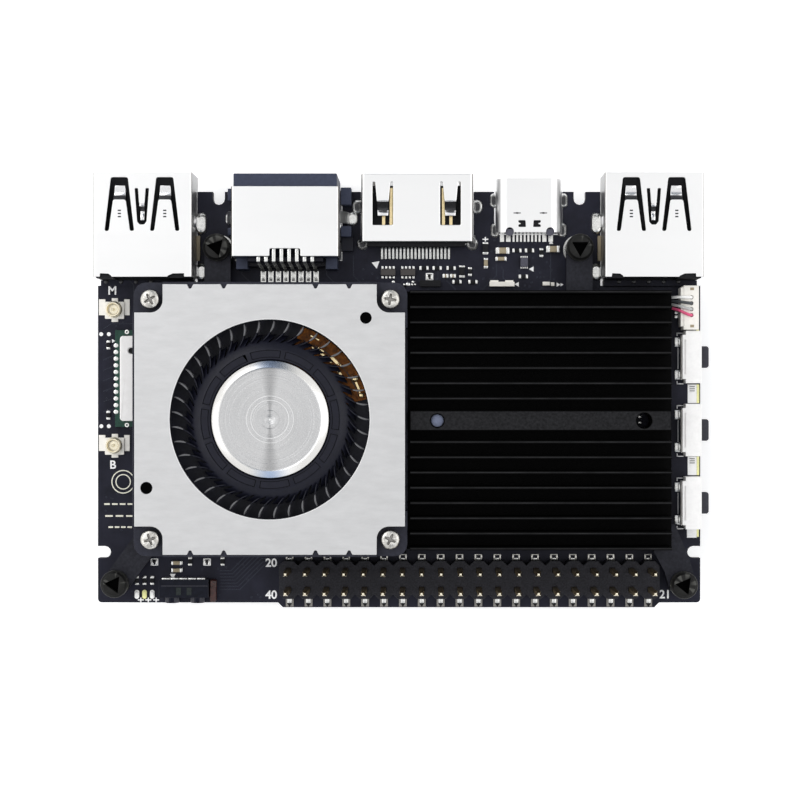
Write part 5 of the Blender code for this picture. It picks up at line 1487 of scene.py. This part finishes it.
def buttons():
    """Side-pushed buttons: cream bodies with metal feet, and dark plungers."""
    for number in range(1, 4):
        lo, hi = place(f"button_body_{number}")
        y = (lo.y + hi.y) / 2
        body = cad_copy(f"button_body_{number}")
        notches = [rectangle(lo.x - 1, y + side * 3.5 - 0.55, lo.x + 0.42, y + side * 3.5 + 0.55)
                   for side in (-1, 1)]
        cut(body, notches, -1, 5)
        cut(body, [rectangle(lo.x + 0.25, y - 2.3, lo.x + 0.45, y + 2.3)], hi.z - 0.3, 5)
        piece(f"button_case_{number}", body, CASE, nodes=[f"button_body_{number}"], bevel=0.1,
              segments=3)
        bm = bmesh.new()
        middle = y + BUTTON_SHIFT
        for side in (-1, 1):
            extrude(bm, centred(37.05, middle + side * 2.2, 0.85, 1.25), 0.0, 0.16)
            extrude(bm, centred(37.28, middle + side * 2.2, 0.4, 0.85), 0.1, 0.75)
        piece(f"button_feet_{number}", bm, TIN, bevel=0.06)
        bm = bmesh.new()
        extrude(bm, rectangle(37.32, middle - 2.9, lo.x + 0.02, middle + 2.9), 1.0, hi.z - 0.5)
        piece(f"button_plate_{number}", bm, CREAM, bevel=0.06)
        as_cad(f"button_cap_{number}", f"button_plunger_{number}", PLUNGER, f"button_{number}",
               bevel=0.12, segments=3)
    bm = bmesh.new()
    for x, low, high in ((38.4, -1.5, 1.0), (38.4, -11.2, -8.7), (38.3, -19.62, -17.65)):
        extrude(bm, rectangle(x, low, 39.6, high), 0.0, 0.025)
    piece("edge_patches_white", bm, PRINT)
    bm = bmesh.new()
    for y in (-0.25, -9.95):
        extrude(bm, rectangle(39.62, y - 1.25, 39.95, y + 1.25), 0.0, 0.03)
    extrude(bm, rectangle(39.55, 8.1, 39.9, 9.3), 0.0, 0.03)
    extrude(bm, rectangle(39.62, -19.5, 39.9, -17.65), 0.0, 0.03)
    piece("edge_patches_lime", bm, LENS_LIME)
    slabs("edge_patch_bars", RESIN, [(centred(39.0, y + 0.95 - 0.28 * i, 0.7, 0.09), 0.025, 0.05)
                                     for y in (-0.25, -9.95) for i in range(3)])


WIRE_X = 38.5
WIRE_PLACES = [12.58 - 0.79 * i for i in range(4)]


def fan_plug():
    """The fan's plug, with a hole for each wire."""
    lo, hi = place("fan_connector")
    plug = prisms([rectangle(lo.x, lo.y, hi.x, hi.y)], lo.z, hi.z)
    cut(plug, [rectangle(lo.x - 1, lo.y - 1, lo.x + 0.36, lo.y + 0.42),
               rectangle(lo.x - 1, hi.y - 0.25, lo.x + 0.36, hi.y + 1)], lo.z - 1, hi.z + 1)
    cut(plug, [rectangle(lo.x - 1, lo.y - 1, lo.x + 0.42, hi.y + 1)], hi.z - 0.14, hi.z + 1)
    cut(plug, [circle(WIRE_X, y, 0.27, 20) for y in WIRE_PLACES], hi.z - 1.0, hi.z + 1)
    piece("fan_plug", plug, CREAM, nodes=["fan_connector"], bevel=0.08)
    bm = bmesh.new()
    for y in WIRE_PLACES:
        washer(bm, WIRE_X, y, 0, 0.25, hi.z - 1.02, hi.z - 0.3, 20)
    piece("fan_plug_holes", bm, RESIN)
    slabs("fan_plug_marks", CERAMIC, [(centred(38.58, y, 0.5, 0.35), hi.z, hi.z + 0.03)
                                      for y in (lo.y + 0.45, hi.y - 0.45)])


def fan_wires():
    """Four coloured wires, gathered in a sleeve under the heatsink."""
    for i, finish in enumerate(WIRES):
        inner, outer = 12.62 - 0.45 * i, WIRE_PLACES[i]
        route = [(WIRE_X, outer, 2.6), (WIRE_X - 0.03, outer, 3.0),
                 (WIRE_X - 0.22, outer + 0.01, 3.2), (WIRE_X - 0.7, (outer * 5 + inner) / 6, 3.22),
                 (37.1, (outer + inner) / 2, 3.0), (36.4, (outer + inner * 4) / 5, 2.2),
                 (35.6, inner, 1.5), (34.6, inner, 1.1), (20.0, inner, 1.1),
                 (5.0, inner, 1.1), (-3.6, inner, 1.1)]
        curve = bpy.data.curves.new(f"fan_wire_{i + 1}", "CURVE")
        curve.dimensions = "3D"
        curve.bevel_depth = 0.2 * MM
        curve.bevel_resolution = 4
        curve.use_fill_caps = True
        curve.resolution_u = 8
        spline = curve.splines.new("BEZIER")
        spline.bezier_points.add(len(route) - 1)
        for point, (px, py, pz) in zip(spline.bezier_points, route):
            point.co = (px * MM, py * MM, (pz + TOP) * MM)
            point.handle_left_type = "AUTO"
            point.handle_right_type = "AUTO"
        curve.materials.append(finish)
        wire = bpy.data.objects.new(f"fan_wire_{i + 1}", curve)
        bpy.context.scene.collection.objects.link(wire)
        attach(wire, "board")
        if i == 0:
            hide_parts("fan_cable")
    slabs("fan_wire_sleeve", BLACK, [(rounded(-4.9, 10.6, -3.2, 13.35, 0.3), 0.6, 3.2)], bevel=0.15)


def infrared():
    """The smoked receiver with its domes, its window and the red-brown part beside it."""
    # The body's sloping edges take the lighter plunger colour: a painted highlight.
    as_cad("infrared_body", "ir_receiver", SMOKED, bevel=0.12, segments=3, rim=PLUNGER)
    # A lighter line along the rear top edge is a painted highlight.
    slabs("infrared_edge_highlight", PLUNGER, [(rectangle(-32.2, -25.98, -26.0, -25.88), 2.1, 2.13)])
    slabs("infrared_window", SMOKED_WINDOW, [(centred(x, -26.65, 0.64, 1.0), 2.1, 2.14)
                                             for x in (-29.88, -28.47)])
    slabs("infrared_feet", TIN, [(rectangle(-32.15 + 1.18 * i, -25.09, -31.1 + 1.18 * i, -24.9),
                                  0.0, 1.9) for i in range(5)], bevel=0.03)
    slabs("red_brown_part", COPPER_RED, [(rounded(-25.78, -28.1, -24.95, -25.15, 0.2), 0.05, 1.5),
                                         (rounded(-25.7, -26.1, -24.85, -25.2, 0.2), 1.4, 1.75)],
          bevel=0.12, segments=3)


def underside():
    """Sockets, flex connector and small parts below the board."""
    as_cad("card_cage", "card_socket", STEEL, bevel=0.08)
    as_cad("expansion_socket", "m2_socket", BLACK, bevel=0.1)
    as_cad("flex_socket", "flex_connector", CREAM, bevel=0.06)
    as_cad("flex_flap", "flex_latch", BLACK, "latch", bevel=0.05)
    pins = bmesh.new()
    lo, hi = place("m2_socket")
    for i in range(40):
        for x in (lo.x - 0.35, hi.x + 0.35):
            extrude(pins, centred(x, lo.y + 1.2 + 0.5 * i, 0.8, 0.22), UNDERSIDE - 0.14, UNDERSIDE)
    lo, hi = place("flex_connector")
    for i in range(30):
        extrude(pins, centred(lo.x + 1.2 + 0.5 * i, hi.y + 0.3, 0.22, 0.8), UNDERSIDE - 0.12,
                UNDERSIDE)
    resistors, ceramics = bmesh.new(), bmesh.new()
    rng = random.Random(11)
    for column in range(9):
        for row in range(6):
            if rng.random() < 0.25:
                continue
            x = -8.0 + 4.6 * column + rng.uniform(-0.4, 0.4)
            y = -17.5 + 3.6 * row + rng.uniform(-0.3, 0.3)
            if x > 32 or (y > 1.5 and 8 < x < 29):
                continue
            target = rng.choice((resistors, ceramics))
            upright = rng.random() < 0.5
            width, depth = (0.5, 0.55) if upright else (0.55, 0.5)
            extrude(target, centred(x, y, width, depth), UNDERSIDE - 0.4, UNDERSIDE - 0.02)
            for side in (-0.4, 0.4):
                end = (centred(x, y + side, 0.52, 0.25) if upright
                       else centred(x + side, y, 0.25, 0.52))
                extrude(pins, end, UNDERSIDE - 0.42, UNDERSIDE)
    piece("underside_resistors", resistors, RESIN, bevel=0.03)
    piece("underside_capacitors", ceramics, CERAMIC, bevel=0.04)
    piece("underside_pins", pins, TIN, bevel=0.02)
    bm = bmesh.new()
    for x, y, w, d in ((0.0, 8.5, 7.0, 7.0), (-5.0, -14.0, 4.0, 4.0), (29.0, -8.0, 4.5, 3.6)):
        extrude(bm, centred(x, y, w, d), UNDERSIDE - 0.9, UNDERSIDE - 0.04)
    piece("underside_chips", bm, RESIN, bevel=0.06)


buttons()
fan_plug()
fan_wires()
infrared()
underside()
